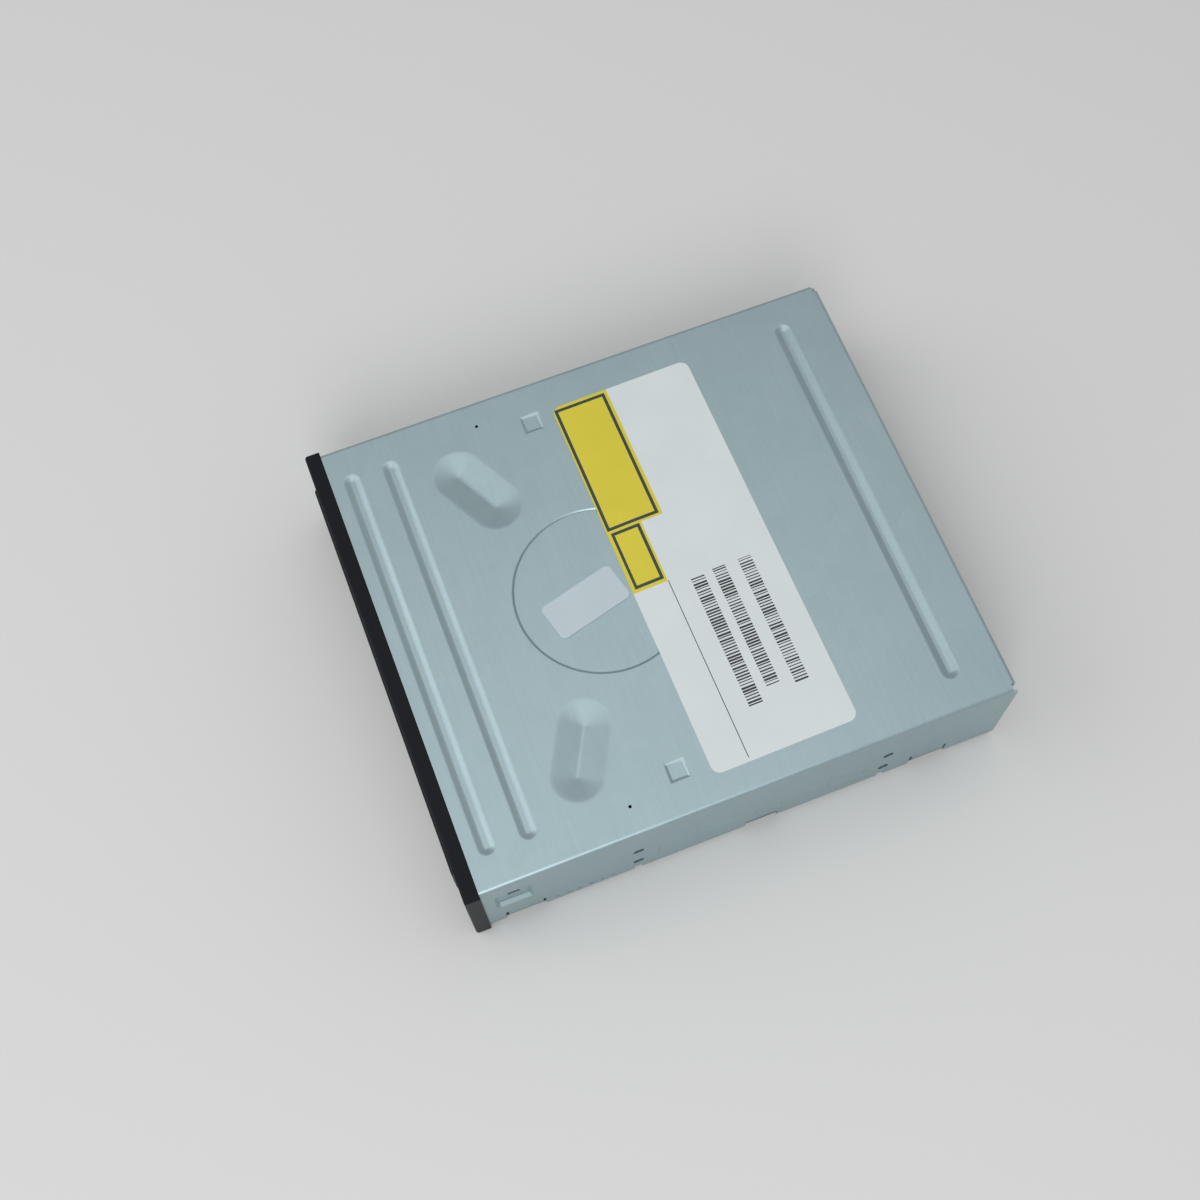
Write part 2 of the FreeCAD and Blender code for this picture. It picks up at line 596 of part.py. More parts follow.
def make_bezel():
    body = new_body("front_bezel")
    half = d.bezel_width / 2
    pad(body, "y", -d.bezel_depth, 0, rectangle(-half, d.bezel_low, half, d.cover_height))
    fillet(body, d.bezel_round, lambda edge: near(edge.BoundBox.Center.y, -d.bezel_depth))
    skin = -d.bezel_depth + d.bezel_skin
    opening_half = d.door_width / 2 + d.door_gap
    opening_low = d.door_low - d.door_gap
    inner = half - d.bezel_rim
    pocket(body, "y", 1, skin, rectangle(-inner, d.bezel_low + d.bezel_rim, inner, opening_low - d.bezel_rim))
    for side in (-1, 1):
        inside = span(side * (opening_half + d.bezel_rim), side * inner)
        pocket(body, "y", 1, skin, rectangle(inside[0], opening_low - d.bezel_rim - 0.1, inside[1],
                                             d.door_high + d.door_gap))
    pocket(body, "y", -d.bezel_depth - 1, 1,
           rectangle(-opening_half, opening_low, opening_half, d.door_high + d.door_gap))
    sleeve_x = d.button_width / 2 + d.button_gap
    sleeve_z = d.button_height / 2 + d.button_gap
    wall = as_size(1.1)
    pad(body, "y", skin - 0.1, -0.4,
        rectangle(d.button_x - sleeve_x - wall, d.control_z - sleeve_z - wall,
                  d.button_x + sleeve_x + wall, d.control_z + sleeve_z + wall))
    light_x = d.light_width / 2 + 0.05
    light_z = d.light_height / 2 + 0.05
    pocket(body, "y", -d.bezel_depth - 1, 1,
           rectangle(d.button_x - sleeve_x, d.control_z - sleeve_z, d.button_x + sleeve_x,
                     d.control_z + sleeve_z),
           rectangle(d.light_x - light_x, d.control_z - light_z, d.light_x + light_x, d.control_z + light_z),
           circle(d.release_x, d.control_z, d.release_radius))
    arm_out = inner_half - d.latch_press - d.arm_inset
    for side in (-1, 1):
        arm = span(side * (arm_out - d.arm_thick), side * arm_out)
        pad(body, "y", skin - 0.1, d.window_back + 0.8,
            rectangle(arm[0], d.window_low + d.arm_gap, arm[1], d.window_high - d.arm_gap))
        nub = rectangle(d.window_front + d.arm_gap, d.window_low + 1, d.window_back - d.arm_gap,
                        d.window_high - 1)
        pad(body, "x", side * (arm_out - 0.1), side * (half_width - d.latch_press + 0.2), nub)
    place(body)


def make_tray_front():
    body = new_body("tray_front")
    half = d.door_width / 2
    back = -door_front + d.door_thick
    pad(body, "y", -door_front, back, rectangle(-half, d.door_low, half, d.door_high))
    fillet(body, d.door_round, lambda edge: near(edge.BoundBox.Center.y, -door_front))
    place(body)


def make_button_and_light():
    body = new_body("eject_button")
    half_x = d.button_width / 2
    half_z = d.button_height / 2
    shoulder = -d.bezel_depth + 1.2
    pad(body, "y", -door_front, -0.6,
        rectangle(d.button_x - half_x, d.control_z - half_z, d.button_x + half_x, d.control_z + half_z))
    fillet(body, as_size(0.7), lambda edge: near(edge.BoundBox.Center.y, -door_front))
    pocket(body, "y", 0, shoulder,
           rectangle(d.button_x - half_x + 1, d.control_z - half_z + 1, d.button_x + half_x - 1,
                     d.control_z + half_z - 1))
    pad(body, "y", shoulder - 0.1, 0.3, circle(d.button_x, d.control_z, d.stem_radius))
    place(body)

    body = new_body("light_pipe")
    half_x = d.light_width / 2
    half_z = d.light_height / 2
    pad(body, "y", -d.bezel_depth - 0.2, 2.8,
        rectangle(d.light_x - half_x, d.control_z - half_z, d.light_x + half_x, d.control_z + half_z))
    skin = -d.bezel_depth + d.bezel_skin
    pad(body, "y", skin, skin + 1,
        rectangle(d.light_x - half_x - 1, d.control_z - half_z - 0.8, d.light_x + half_x + 1,
                  d.control_z + half_z + 0.8))
    fillet(body, as_size(0.2), lambda edge: near(edge.BoundBox.Center.y, -d.bezel_depth - 0.2))
    place(body)


# Main frame


def make_main_frame():
    body = new_body("main_frame")
    front_inner = d.frame_front + d.frame_wall
    pad(body, "z", board_top, deck_top,
        rectangle(-d.frame_half, d.frame_front, d.frame_half, d.frame_rear),
        rectangle(-frame_inner, front_inner, frame_inner, frame_back_wall))
    pad(body, "z", d.steel, d.frame_top, *both_sides(frame_inner, d.frame_half, d.frame_front, d.frame_rear))
    pad(body, "z", d.steel, board_top + 0.1,
        rectangle(-d.frame_half, d.frame_front, d.frame_half, front_inner))
    pad(body, "z", d.deck_low, deck_top,
        rectangle(-frame_inner - 0.1, front_inner - 0.1, frame_inner + 0.1, d.beam_front + 0.1),
        circle(motor_x, d.gear_y, d.motor_pulley_radius + 1.2))
    pad(body, "y", d.beam_front, beam_back,
        rectangle(-frame_inner - 0.1, d.cam_low + 0.2, frame_inner + 0.1, d.beam_top))
    pad(body, "z", deck_top - 0.1, d.floor_under - 0.8, circle(d.tray_gear_x, d.gear_y, d.post_radius))
    pad(body, "z", deck_top - 0.1, d.wheel_high + 0.6, circle(pulley_gear_x, d.gear_y, d.post_radius))
    # ledges carry the tray's runners, guides hold them down, and two taller guides carry the bridge
    pad(body, "z", d.ledge_low, d.tray_bottom - d.runner_gap,
        *both_sides(rail_in, frame_inner + 0.1, d.frame_front, d.frame_rear - 1))
    guide_low = runner_top + d.runner_gap
    guides = both_sides(rail_in, frame_inner + 0.1, 8, 20) + both_sides(rail_in, frame_inner + 0.1, 122, 134)
    pad(body, "z", guide_low, guide_low + 1.5, *guides)
    pad(body, "z", guide_low, d.frame_top, *both_sides(rail_in, frame_inner + 0.1, *bridge_arm))
    # bosses for the screws of the bottom cover
    corners = [(side * d.corner_screw_x, y) for side in (-1, 1)
               for y in (d.corner_screw_front, d.corner_screw_rear)]
    webs = []
    for y in (d.corner_screw_front, d.corner_screw_rear):
        webs += both_sides(d.corner_screw_x, frame_inner + 0.1, y - 1, y + 1)
    pad(body, "z", board_top, deck_top, *webs)
    pad(body, "z", d.steel, deck_top, *[circle(x, y, d.boss_radius) for x, y in corners])
    # hinge ears for the traverse
    outer_left = d.lift_left - d.trunnion_gap - d.ear_thick
    outer_right = d.lift_right + d.trunnion_gap
    for inner_x in (outer_left, outer_right):
        pad(body, "x", inner_x, inner_x + d.ear_thick,
            polygon((d.hinge_y - 4.5, deck_top - 4), (frame_back_wall + 0.1, deck_top - 4),
                    (frame_back_wall + 0.1, deck_top), (d.hinge_y + 3.4, d.hinge_z + 3.6),
                    (d.hinge_y - 3.4, d.hinge_z + 3.6)))
    pocket(body, "x", outer_left - 1, outer_right + d.ear_thick + 1,
           circle(d.hinge_y, d.hinge_z, d.trunnion_radius + d.bore_clear))
    # room for the mounting screws, the cores of the bosses and of the bridge screws, the release hole
    for side in (-1, 1):
        reliefs = [circle(row, z, d.bolt_relief) for row in hole_rows for z in (d.hole_low, d.hole_high)]
        pocket(body, "x", side * (frame_inner - 1), side * (d.frame_half + 1), *reliefs)
    reliefs = []
    for row in hole_rows:
        reliefs += both_sides(frame_inner - 1, d.frame_half + 1, row - d.bolt_relief, row + d.bolt_relief)
    pocket(body, "z", 0, d.hole_low, *reliefs)
    pocket(body, "z", 0, deck_top - 2, *[circle(x, y, d.screw_core) for x, y in corners])
    pocket(body, "z", d.frame_top + 1, d.frame_top - 5, *[circle(x, y, d.screw_core) for x, y in bridge_screws])
    pocket(body, "y", d.frame_front - 1, front_inner + 1, circle(d.release_x, d.control_z, d.release_radius + 0.3))
    place(body)


# Disc tray


def make_disc_tray():
    body = new_body("disc_tray")
    wall_front = -door_front + d.door_thick
    inner = d.tray_half - d.tray_wall
    pad(body, "z", d.tray_bottom, d.tray_top, rectangle(-d.tray_half, wall_front, d.tray_half, d.tray_back))
    pad(body, "y", wall_front, wall_front + d.tray_wall,
        rectangle(-inner, d.tray_top - 0.1, inner, d.tray_wall_top))
    for side in (-1, 1):
        runner = span(side * (d.tray_half - 0.1), side * (d.tray_half + d.runner_width))
        pad(body, "z", d.tray_bottom, runner_top, rectangle(runner[0], 4, runner[1], d.tray_back))
    pocket(body, "z", d.tray_top, d.disc_floor, circle(0, d.spindle_y, d.disc_recess))
    pocket(body, "z", d.disc_floor, d.small_floor, circle(0, d.spindle_y, d.small_recess))
    pocket(body, "z", d.tray_bottom - 0.1, d.floor_under,
           rectangle(-inner, wall_front + d.tray_wall, inner, d.tray_back + 1))
    pocket(body, "z", d.floor_under - 0.1, d.rear_under,
           rectangle(-inner + 14, d.slot_back + 2, inner - 6, d.tray_back - d.tray_wall))
    pocket(body, "z", d.tray_bottom - 1, d.tray_top + 1, circle(0, d.spindle_y, d.eye_radius))
    pocket(body, "z", d.tray_bottom - 1, d.tray_top + 1,
           rectangle(-d.slot_half, d.spindle_y, d.slot_half, d.slot_back))
    # finger scoops at the disc's edge
    scoops = [circle(side * d.finger_reach, d.spindle_y - d.finger_reach, d.finger_radius) for side in (-1, 1)]
    pocket(body, "z", d.tray_top, d.disc_floor - 0.6, *scoops)
    # the rack under the floor, on the left
    root = rack_line - 1.25 * d.rack_module
    pad(body, "z", d.tray_bottom - 1.4, d.floor_under + 0.1,
        rectangle(root - 3.6, d.gear_y - 8, root + 0.1, d.tray_back))
    pitch = math.pi * d.rack_module
    tip = rack_line + d.rack_module
    tooth_y = d.gear_y - 1.5 * pitch
    tooth = polygon((root, tooth_y - 0.34 * pitch), (tip, tooth_y - 0.12 * pitch),
                    (tip, tooth_y + 0.12 * pitch), (root, tooth_y + 0.34 * pitch))
    first = pad(body, "z", d.tray_bottom - 1.4, d.floor_under + 0.1, tooth)
    row_of(body, first, "Y_Axis", pitch, d.rack_teeth)
    place(body)


# Loading gears


def tooth_gap(module, teeth, turn):
    # the space between two involute teeth, symmetric about the direction of turn
    pitch_radius = module * teeth / 2
    base_radius = pitch_radius * math.cos(math.radians(20))
    tip_radius = pitch_radius + module
    root_radius = pitch_radius - 1.25 * module
    start_radius = max(base_radius, root_radius + 0.05 * module)

    def unroll(radius):
        angle = math.acos(min(base_radius / radius, 1.0))
        return math.tan(angle) - angle

    def half_angle(radius):
        slack = float(d.mesh_slack) / (2 * pitch_radius)
        return math.pi / (2 * teeth) + slack - unroll(pitch_radius) + unroll(max(radius, base_radius))

    radii = [root_radius, start_radius, pitch_radius, tip_radius, tip_radius + 0.4 * module]
    flank = [(radius, half_angle(radius)) for radius in radii]
    around = [(radius, -half) for radius, half in flank] + list(reversed(flank))
    middle = math.radians(turn)
    return polygon(*[(radius * math.cos(middle + half), radius * math.sin(middle + half))
                     for radius, half in around])


def toothed_disc(body, module, teeth, low, high, turn):
    pad(body, "z", low, high, circle(0, 0, module * (teeth / 2 + 1)))
    gap = pocket(body, "z", low, high + 0.05, tooth_gap(float(module), float(teeth), turn))
    ring_of(body, gap, teeth)


def pulley_section(inner, radius):
    # a rim grooved between two lips
    lip = radius + d.pulley_lip
    middle = (d.pulley_low + d.pulley_high) / 2
    groove = d.belt_size / 2 + 0.2
    return [(inner, d.pulley_low), (lip, d.pulley_low), (lip, middle - groove), (radius, middle - groove),
            (radius, middle + groove), (lip, middle + groove), (lip, d.pulley_high), (inner, d.pulley_high)]


def make_gears():
    bore = d.post_radius + d.bore_clear
    # each gap is turned so that a tooth of one gear stands in a gap of the next
    body = new_body("tray_gear")
    toothed_disc(body, d.wheel_module, d.wheel_teeth, d.wheel_low, d.wheel_high, 0)
    toothed_disc(body, d.rack_module, d.pinion_teeth, d.wheel_high, d.floor_under - 0.4,
                 180 / d.pinion_teeth.value)
    pad(body, "z", deck_top + 0.3, d.wheel_low + 0.1, circle(0, 0, 4))
    pocket(body, "z", deck_top, d.floor_under, circle(0, 0, bore))
    place(body, d.tray_gear_x, d.gear_y)

    body = new_body("pulley_gear")
    turned(body, *pulley_section(0, d.pulley_radius))
    toothed_disc(body, d.wheel_module, d.small_teeth, d.pulley_high, d.wheel_high + 0.2,
                 180 / d.small_teeth.value)
    pocket(body, "z", deck_top, d.wheel_high + 1, circle(0, 0, bore))
    place(body, pulley_gear_x, d.gear_y)

    body = new_body("motor_pulley")
    turned(body, *pulley_section(d.shaft_radius, d.motor_pulley_radius))
    place(body, motor_x, d.gear_y)

    body = new_body("motor_shaft")
    pad(body, "z", d.deck_low - 2, d.pulley_high + 0.3, circle(0, 0, d.shaft_radius))
    place(body, motor_x, d.gear_y)

    body = new_body("drive_belt")
    middle = (d.pulley_low + d.pulley_high) / 2
    inside = d.belt_gap
    outside = d.belt_gap + d.belt_size
    centres = [(0, 0), (d.belt_span, 0)]
    pad(body, "z", middle - d.belt_size / 2, middle + d.belt_size / 2,
        rounded(centres, d.pulley_radius + outside, d.motor_pulley_radius + outside),
        rounded(centres, d.pulley_radius + inside, d.motor_pulley_radius + inside))
    place(body, pulley_gear_x, d.gear_y)


def make_loading_motor():
    body = new_body("loading_motor")
    corner = 2.0
    pad(body, "z", d.motor_low, d.deck_low, circle(0, 0, d.motor_radius))
    pocket(body, "z", d.deck_low - 2.4, d.deck_low + 1, circle(0, 0, d.shaft_radius + d.bore_clear))
    for side in (-1, 1):
        flat_x = span(side * (d.motor_radius - corner), side * (d.motor_radius + 1))
        pocket(body, "z", d.motor_low - 1, d.deck_low - 1.2,
               rectangle(flat_x[0], -d.motor_radius - 1, flat_x[1], d.motor_radius + 1))
    fillet(body, as_size(0.8), lambda edge: near(edge.BoundBox.Center.z, d.motor_low))
    place(body, motor_x, d.gear_y)


def make_cam_slider():
    body = new_body("cam_slider")
    pin_mid = (cam_front + cam_back) / 2
    pin_low = d.hinge_z - (d.hinge_y - pin_mid) * tilt_sine
    pin_high = d.hinge_z
    slot = d.cam_pin_radius + d.cam_pin_clear
    pad(body, "y", cam_front, cam_back, rectangle(d.cam_left, d.cam_low, d.cam_right, d.cam_top))
    for pin in (d.cam_pin_left, d.cam_pin_right):
        pocket(body, "y", cam_front - 1, cam_back + 1,
               rounded([(pin, pin_low), (pin - d.cam_travel, pin_high)], slot))
    flange_low = d.beam_top + 0.3
    pad(body, "z", flange_low, d.cam_top,
        rectangle(d.cam_flange_left, d.beam_front - 0.9, d.cam_right, cam_front + 0.1))
    # a short rack runs past the wheel, its tips just clear of the wheel's
    pitch = math.pi * d.wheel_module
    tip = d.gear_y + d.wheel_module * (d.wheel_teeth / 2 + 1) + d.rack_clear
    root = tip + 2.25 * d.wheel_module
    rack_top = d.wheel_high - 0.2
    pad(body, "z", d.cam_top - 1.2, rack_top,
        rectangle(d.cam_left, root - 0.1, d.cam_left + d.cam_rack_teeth * pitch, root + 1.2))
    tooth_x = d.cam_left + pitch / 2
    tooth = polygon((tooth_x - 0.34 * pitch, root), (tooth_x - 0.12 * pitch, tip),
                    (tooth_x + 0.12 * pitch, tip), (tooth_x + 0.34 * pitch, root))
    first = pad(body, "z", d.cam_top - 0.1, rack_top, tooth)
    row_of(body, first, "X_Axis", pitch, d.cam_rack_teeth)
    place(body)


# Traverse: lift frame, dampers, plate, spindle, pickup


def make_traverse():
    body = new_body("lift_frame")
    pad(body, "z", d.lift_low, d.lift_high,
        rectangle(d.lift_left, d.lift_front, d.lift_right, d.lift_back),
        rectangle(d.lift_left + d.lift_bar, d.lift_front + d.lift_front_bar, d.lift_right - d.lift_bar,
                  d.lift_back - d.lift_end))
    for pin in (d.cam_pin_left, d.cam_pin_right):
        pad(body, "y", cam_front + 0.2, d.lift_front + 0.1, circle(pin, d.hinge_z, d.cam_pin_radius))
    reach = d.trunnion_gap + d.ear_thick
    pad(body, "x", d.lift_left - reach, d.lift_left + 0.1, circle(d.hinge_y, d.hinge_z, d.trunnion_radius))
    pad(body, "x", d.lift_right - 0.1, d.lift_right + reach, circle(d.hinge_y, d.hinge_z, d.trunnion_radius))
    post = as_size(1.3)
    post_top = plate_top + d.damper_lip + 0.4
    for x, y in damper_places:
        pad(body, "z", d.lift_high - 0.1, post_top, circle(x, y, post))
    for x, y in damper_places:
        pocket(body, "z", post_top + 1, post_top - 3, circle(x, y, 0.75))
    place_on_traverse(body)

    body = new_body("rubber_dampers", group=True)
    for x, y in damper_places:
        pad(body, "z", d.lift_high, plate_low, circle(x, y, d.damper_radius))
        pad(body, "z", plate_low - 0.05, plate_top + 0.05, circle(x, y, d.damper_neck))
        pad(body, "z", plate_top, plate_top + d.damper_lip, circle(x, y, d.damper_radius))
        pocket(body, "z", d.lift_high - 1, plate_top + d.damper_lip + 1, circle(x, y, post + 0.1))
    place_on_traverse(body)

    body = new_body("damper_screws", group=True)
    for x, y in damper_places:
        pad(body, "z", post_top, post_top + 1.1, circle(x, y, 2.6))
        pad(body, "z", post_top - 2.5, post_top + 0.1, circle(x, y, 0.7))
    place_on_traverse(body)

    body = new_body("traverse_plate")
    window_right = d.screw_x + 4.5
    pad(body, "z", plate_low, plate_top, rectangle(d.plate_left, plate_front, d.plate_right, plate_back))
    pocket(body, "z", plate_low - 1, plate_top + 1,
           rectangle(-d.rod_x - 3.5, hold_front, window_right, opening_back))
    pocket(body, "z", plate_low - 1, plate_top + 1,
           rectangle(d.rod_x + 3.5, hold_front - d.sled_motor_length - 1, window_right, hold_front + 0.1))
    pocket(body, "z", plate_low - 1, plate_top + 1,
           rectangle(-d.sled_half - 0.4, lens_y - d.sled_front - 0.4, d.sled_half + 0.4, hold_front + 0.1))
    holes = [circle(x, y, d.damper_neck + 0.1) for x, y in damper_places]
    pocket(body, "z", plate_low - 1, plate_top + 1, circle(0, d.spindle_y, 3.4), *holes)
    fillet(body, as_size(2.0), lambda edge: runs_along(edge, "z") and edge.BoundBox.Center.y < float(plate_front) + 1)
    place_on_traverse(body)

    body = new_body("rod_holders", group=True)
    for side in (-1, 1):
        x = side * d.rod_x
        for y in (hold_front - d.rod_hold, opening_back):
            pad(body, "y", y, y + d.rod_hold, rectangle(x - 3, plate_top, x + 3, d.rod_z + 2.4))
            pocket(body, "y", y - 0.5, y + d.rod_hold + 0.5, circle(x, d.rod_z, d.rod_radius + d.bore_clear))
    place_on_traverse(body)

    body = new_body("guide_rods", group=True)
    for side in (-1, 1):
        pad(body, "y", hold_front - d.rod_hold + 0.4, hold_back - 0.4,
            circle(side * d.rod_x, d.rod_z, d.rod_radius))
    place_on_traverse(body)


def make_spindle():
    inner = d.rod_radius + 0.06
    body = new_body("spindle_motor")
    turned(body, (inner, plate_low - 0.8), (3.0, plate_low - 0.8), (3.0, plate_top), (14.5, plate_top),
           (14.5, plate_top + 1), (4.5, plate_top + 1), (4.5, plate_top + 1.6), (11.4, plate_top + 1.6),
           (11.4, d.rotor_high - 1.6), (inner, d.rotor_high - 1.6))
    place_on_traverse(body, 0, d.spindle_y)

    body = new_body("spindle_rotor")
    shaft = d.rod_radius
    skirt = d.rotor_radius - d.rotor_wall
    turned(body, (0, plate_low - 1.5), (shaft, plate_low - 1.5), (shaft, d.rotor_high - d.rotor_wall),
           (skirt, d.rotor_high - d.rotor_wall), (skirt, d.rotor_low), (d.rotor_radius, d.rotor_low),
           (d.rotor_radius, d.rotor_high), (shaft, d.rotor_high), (shaft, d.hub_top - 0.4),
           (0, d.hub_top - 0.4))
    place_on_traverse(body, 0, d.spindle_y)

    body = new_body("turntable")
    turned(body, (shaft, d.rotor_high), (d.turntable_radius - 2, d.rotor_high),
           (d.turntable_radius, d.rotor_high + 1.2), (d.turntable_radius, ring_low),
           (d.hub_radius, ring_low), (d.hub_radius, d.hub_top - 1.4), (d.hub_radius - 1.6, d.hub_top),
           (shaft, d.hub_top))
    place_on_traverse(body, 0, d.spindle_y)

    body = new_body("turntable_ring")
    turned(body, (d.hub_radius + 1.2, ring_low), (d.turntable_radius - 0.4, ring_low),
           (d.turntable_radius - 0.4, d.seat_z), (d.hub_radius + 1.2, d.seat_z))
    place_on_traverse(body, 0, d.spindle_y)


def make_pickup():
    front = lens_y - d.sled_front
    back = lens_y + d.sled_back
    body = new_body("pickup_body")
    pad(body, "z", d.sled_low, d.sled_high, rectangle(-d.sled_half, front, d.sled_half, back))
    chamfer(body, as_size(3.0), lambda edge: runs_along(edge, "z"))
    pocket(body, "z", d.sled_low - 1, d.sled_high + 1, circle(0, d.spindle_y, d.turntable_radius + 0.6))
    bearing_y = (lens_y - 3, lens_y + 15)
    eye = d.rod_radius + 1.3
    pad(body, "y", bearing_y[0], bearing_y[1],
        rectangle(-d.rod_x - eye, d.rod_z - eye, -d.sled_half + 0.1, d.rod_z + eye))
    pocket(body, "y", bearing_y[0] - 1, bearing_y[1] + 1,
           circle(-d.rod_x, d.rod_z, d.rod_radius + d.slide_clear))
    fork = (lens_y + 3, lens_y + 11)
    gap = d.rod_radius + 0.08
    pad(body, "y", fork[0], fork[1],
        rectangle(d.sled_half - 0.1, d.rod_z - eye, d.rod_x + eye, d.rod_z + eye))
    pocket(body, "y", fork[0] - 1, fork[1] + 1,
           rectangle(d.rod_x - eye + 1, d.rod_z - gap, d.rod_x + eye + 1, d.rod_z + gap))
    pocket(body, "z", d.sled_high + 1, d.sled_high - 1.6, rectangle(-9, lens_y - 5.5, 9, lens_y + 5.5))
    place_on_traverse(body)

    body = new_body("lens_cover")
    top = d.sled_high + 1.1
    pad(body, "z", d.sled_high, top, rectangle(-11, front + 1, 11, lens_y + 6.5))
    pocket(body, "z", d.sled_high - 1, top + 1, circle(0, lens_y, 4.4))
    chamfer(body, as_size(0.4), lambda edge: near(edge.BoundBox.Center.z, top) and edge.BoundBox.ZLength < 0.01)
    place_on_traverse(body)

    body = new_body("objective_lens")
    low = d.sled_high - 1.6
    turned(body, (0, low), (4.1, low), (4.1, top - 0.2), (3.0, top - 0.2), (3.0, top + 0.2), (2.2, top + 0.7),
           (1.1, top + 1.0), (0, top + 1.1))
    place_on_traverse(body, 0, lens_y)

    body = new_body("screw_follower")
    high = d.rod_z + eye
    near_side = d.screw_x - d.rod_radius - 0.3
    pad(body, "z", high, d.sled_high, rectangle(d.sled_half + 1, fork[0], d.screw_x + 2.4, fork[1] - 3))
    pad(body, "z", d.screw_z - 1.2, high + 0.2,
        rectangle(d.rod_x + eye + 0.2, fork[0], near_side, fork[1] - 3))
    place_on_traverse(body)


def make_sled_drive():
    motor_front = hold_front - d.sled_motor_length
    body = new_body("sled_motor")
    pad(body, "y", motor_front, hold_front, circle(d.screw_x, d.screw_z, d.sled_motor_radius))
    pocket(body, "y", hold_front - 4, hold_front + 1, circle(d.screw_x, d.screw_z, d.rod_radius + d.bore_clear))
    place_on_traverse(body)

    body = new_body("screw_bracket")
    high = d.screw_z + d.sled_motor_radius
    strip = d.screw_x + 4.5
    low = plate_top
    end = hold_back - 1
    pad(body, "x", strip, strip + d.bracket_steel, rectangle(hold_front, low, end, high))
    pad(body, "z", low, low + d.bracket_steel,
        rectangle(strip, hold_front, d.plate_right - 0.2, end))
    for y in (hold_front, opening_back):
        pad(body, "y", y, y + d.bracket_steel,
            rectangle(d.screw_x - 3.6, low, strip + 0.1, high))
        pocket(body, "y", y - 0.5, y + d.bracket_steel + 0.5,
               circle(d.screw_x, d.screw_z, d.rod_radius + d.bore_clear))
    place_on_traverse(body)

    body = new_body("lead_screw")
    pad(body, "y", hold_front - 3.5, opening_back + d.bracket_steel + 0.6,
        circle(d.screw_x, d.screw_z, d.rod_radius))
    place_on_traverse(body)


# Clamp


def make_clamp():
    body = new_body("clamp_bridge")
    low, high = bridge_arm
    pad(body, "z", d.bridge_low, bridge_top, rectangle(-d.frame_half, low, d.frame_half, high))
    pad(body, "z", d.bridge_low, bridge_top, circle(0, d.spindle_y, d.bridge_eye + d.bridge_ring))
    pad(body, "z", d.frame_top, d.bridge_low + 0.1, *both_sides(rail_in + 0.1, d.frame_half, low, high))
    rib_in = d.clamper_flange + 2.4
    pad(body, "z", bridge_top - 0.1, bridge_top + 1.8, *both_sides(rib_in, d.frame_half, low, low + 1.5),
        *both_sides(rib_in, d.frame_half, high - 1.5, high))
    pocket(body, "z", d.bridge_low - 1, bridge_top + 1, circle(0, d.spindle_y, d.bridge_eye))
    pocket(body, "z", d.frame_top - 1, bridge_top + 1,
           *[circle(x, y, d.screw_core + 0.15) for x, y in bridge_screws])
    place(body)

    body = new_body("clamper")
    magnet_low = clamp_face + 3.3
    cavity = d.magnet_radius + 0.3
    turned(body, (0, magnet_low - 0.8), (d.hub_radius + 0.9, magnet_low - 0.8), (d.hub_radius + 0.9, clamp_face),
           (d.clamper_radius - 1.1, clamp_face), (d.clamper_radius, clamp_face + 1.1),
           (d.clamper_radius, clamp_flange_low), (d.clamper_flange, clamp_flange_low),
           (d.clamper_flange, clamp_flange_top), (cavity, clamp_flange_top), (cavity, magnet_low),
           (0, magnet_low))
    place(body, 0, d.spindle_y)

    body = new_body("clamp_magnet")
    yoke_low = clamp_flange_top - 0.8
    turned(body, (2.0, magnet_low), (d.magnet_radius, magnet_low), (d.magnet_radius, yoke_low), (2.0, yoke_low))
    place(body, 0, d.spindle_y)

    body = new_body("clamp_yoke")
    turned(body, (0, yoke_low), (d.magnet_radius, yoke_low), (d.magnet_radius, clamp_flange_top),
           (0, clamp_flange_top))
    place(body, 0, d.spindle_y)


# Electronics and rear connectors


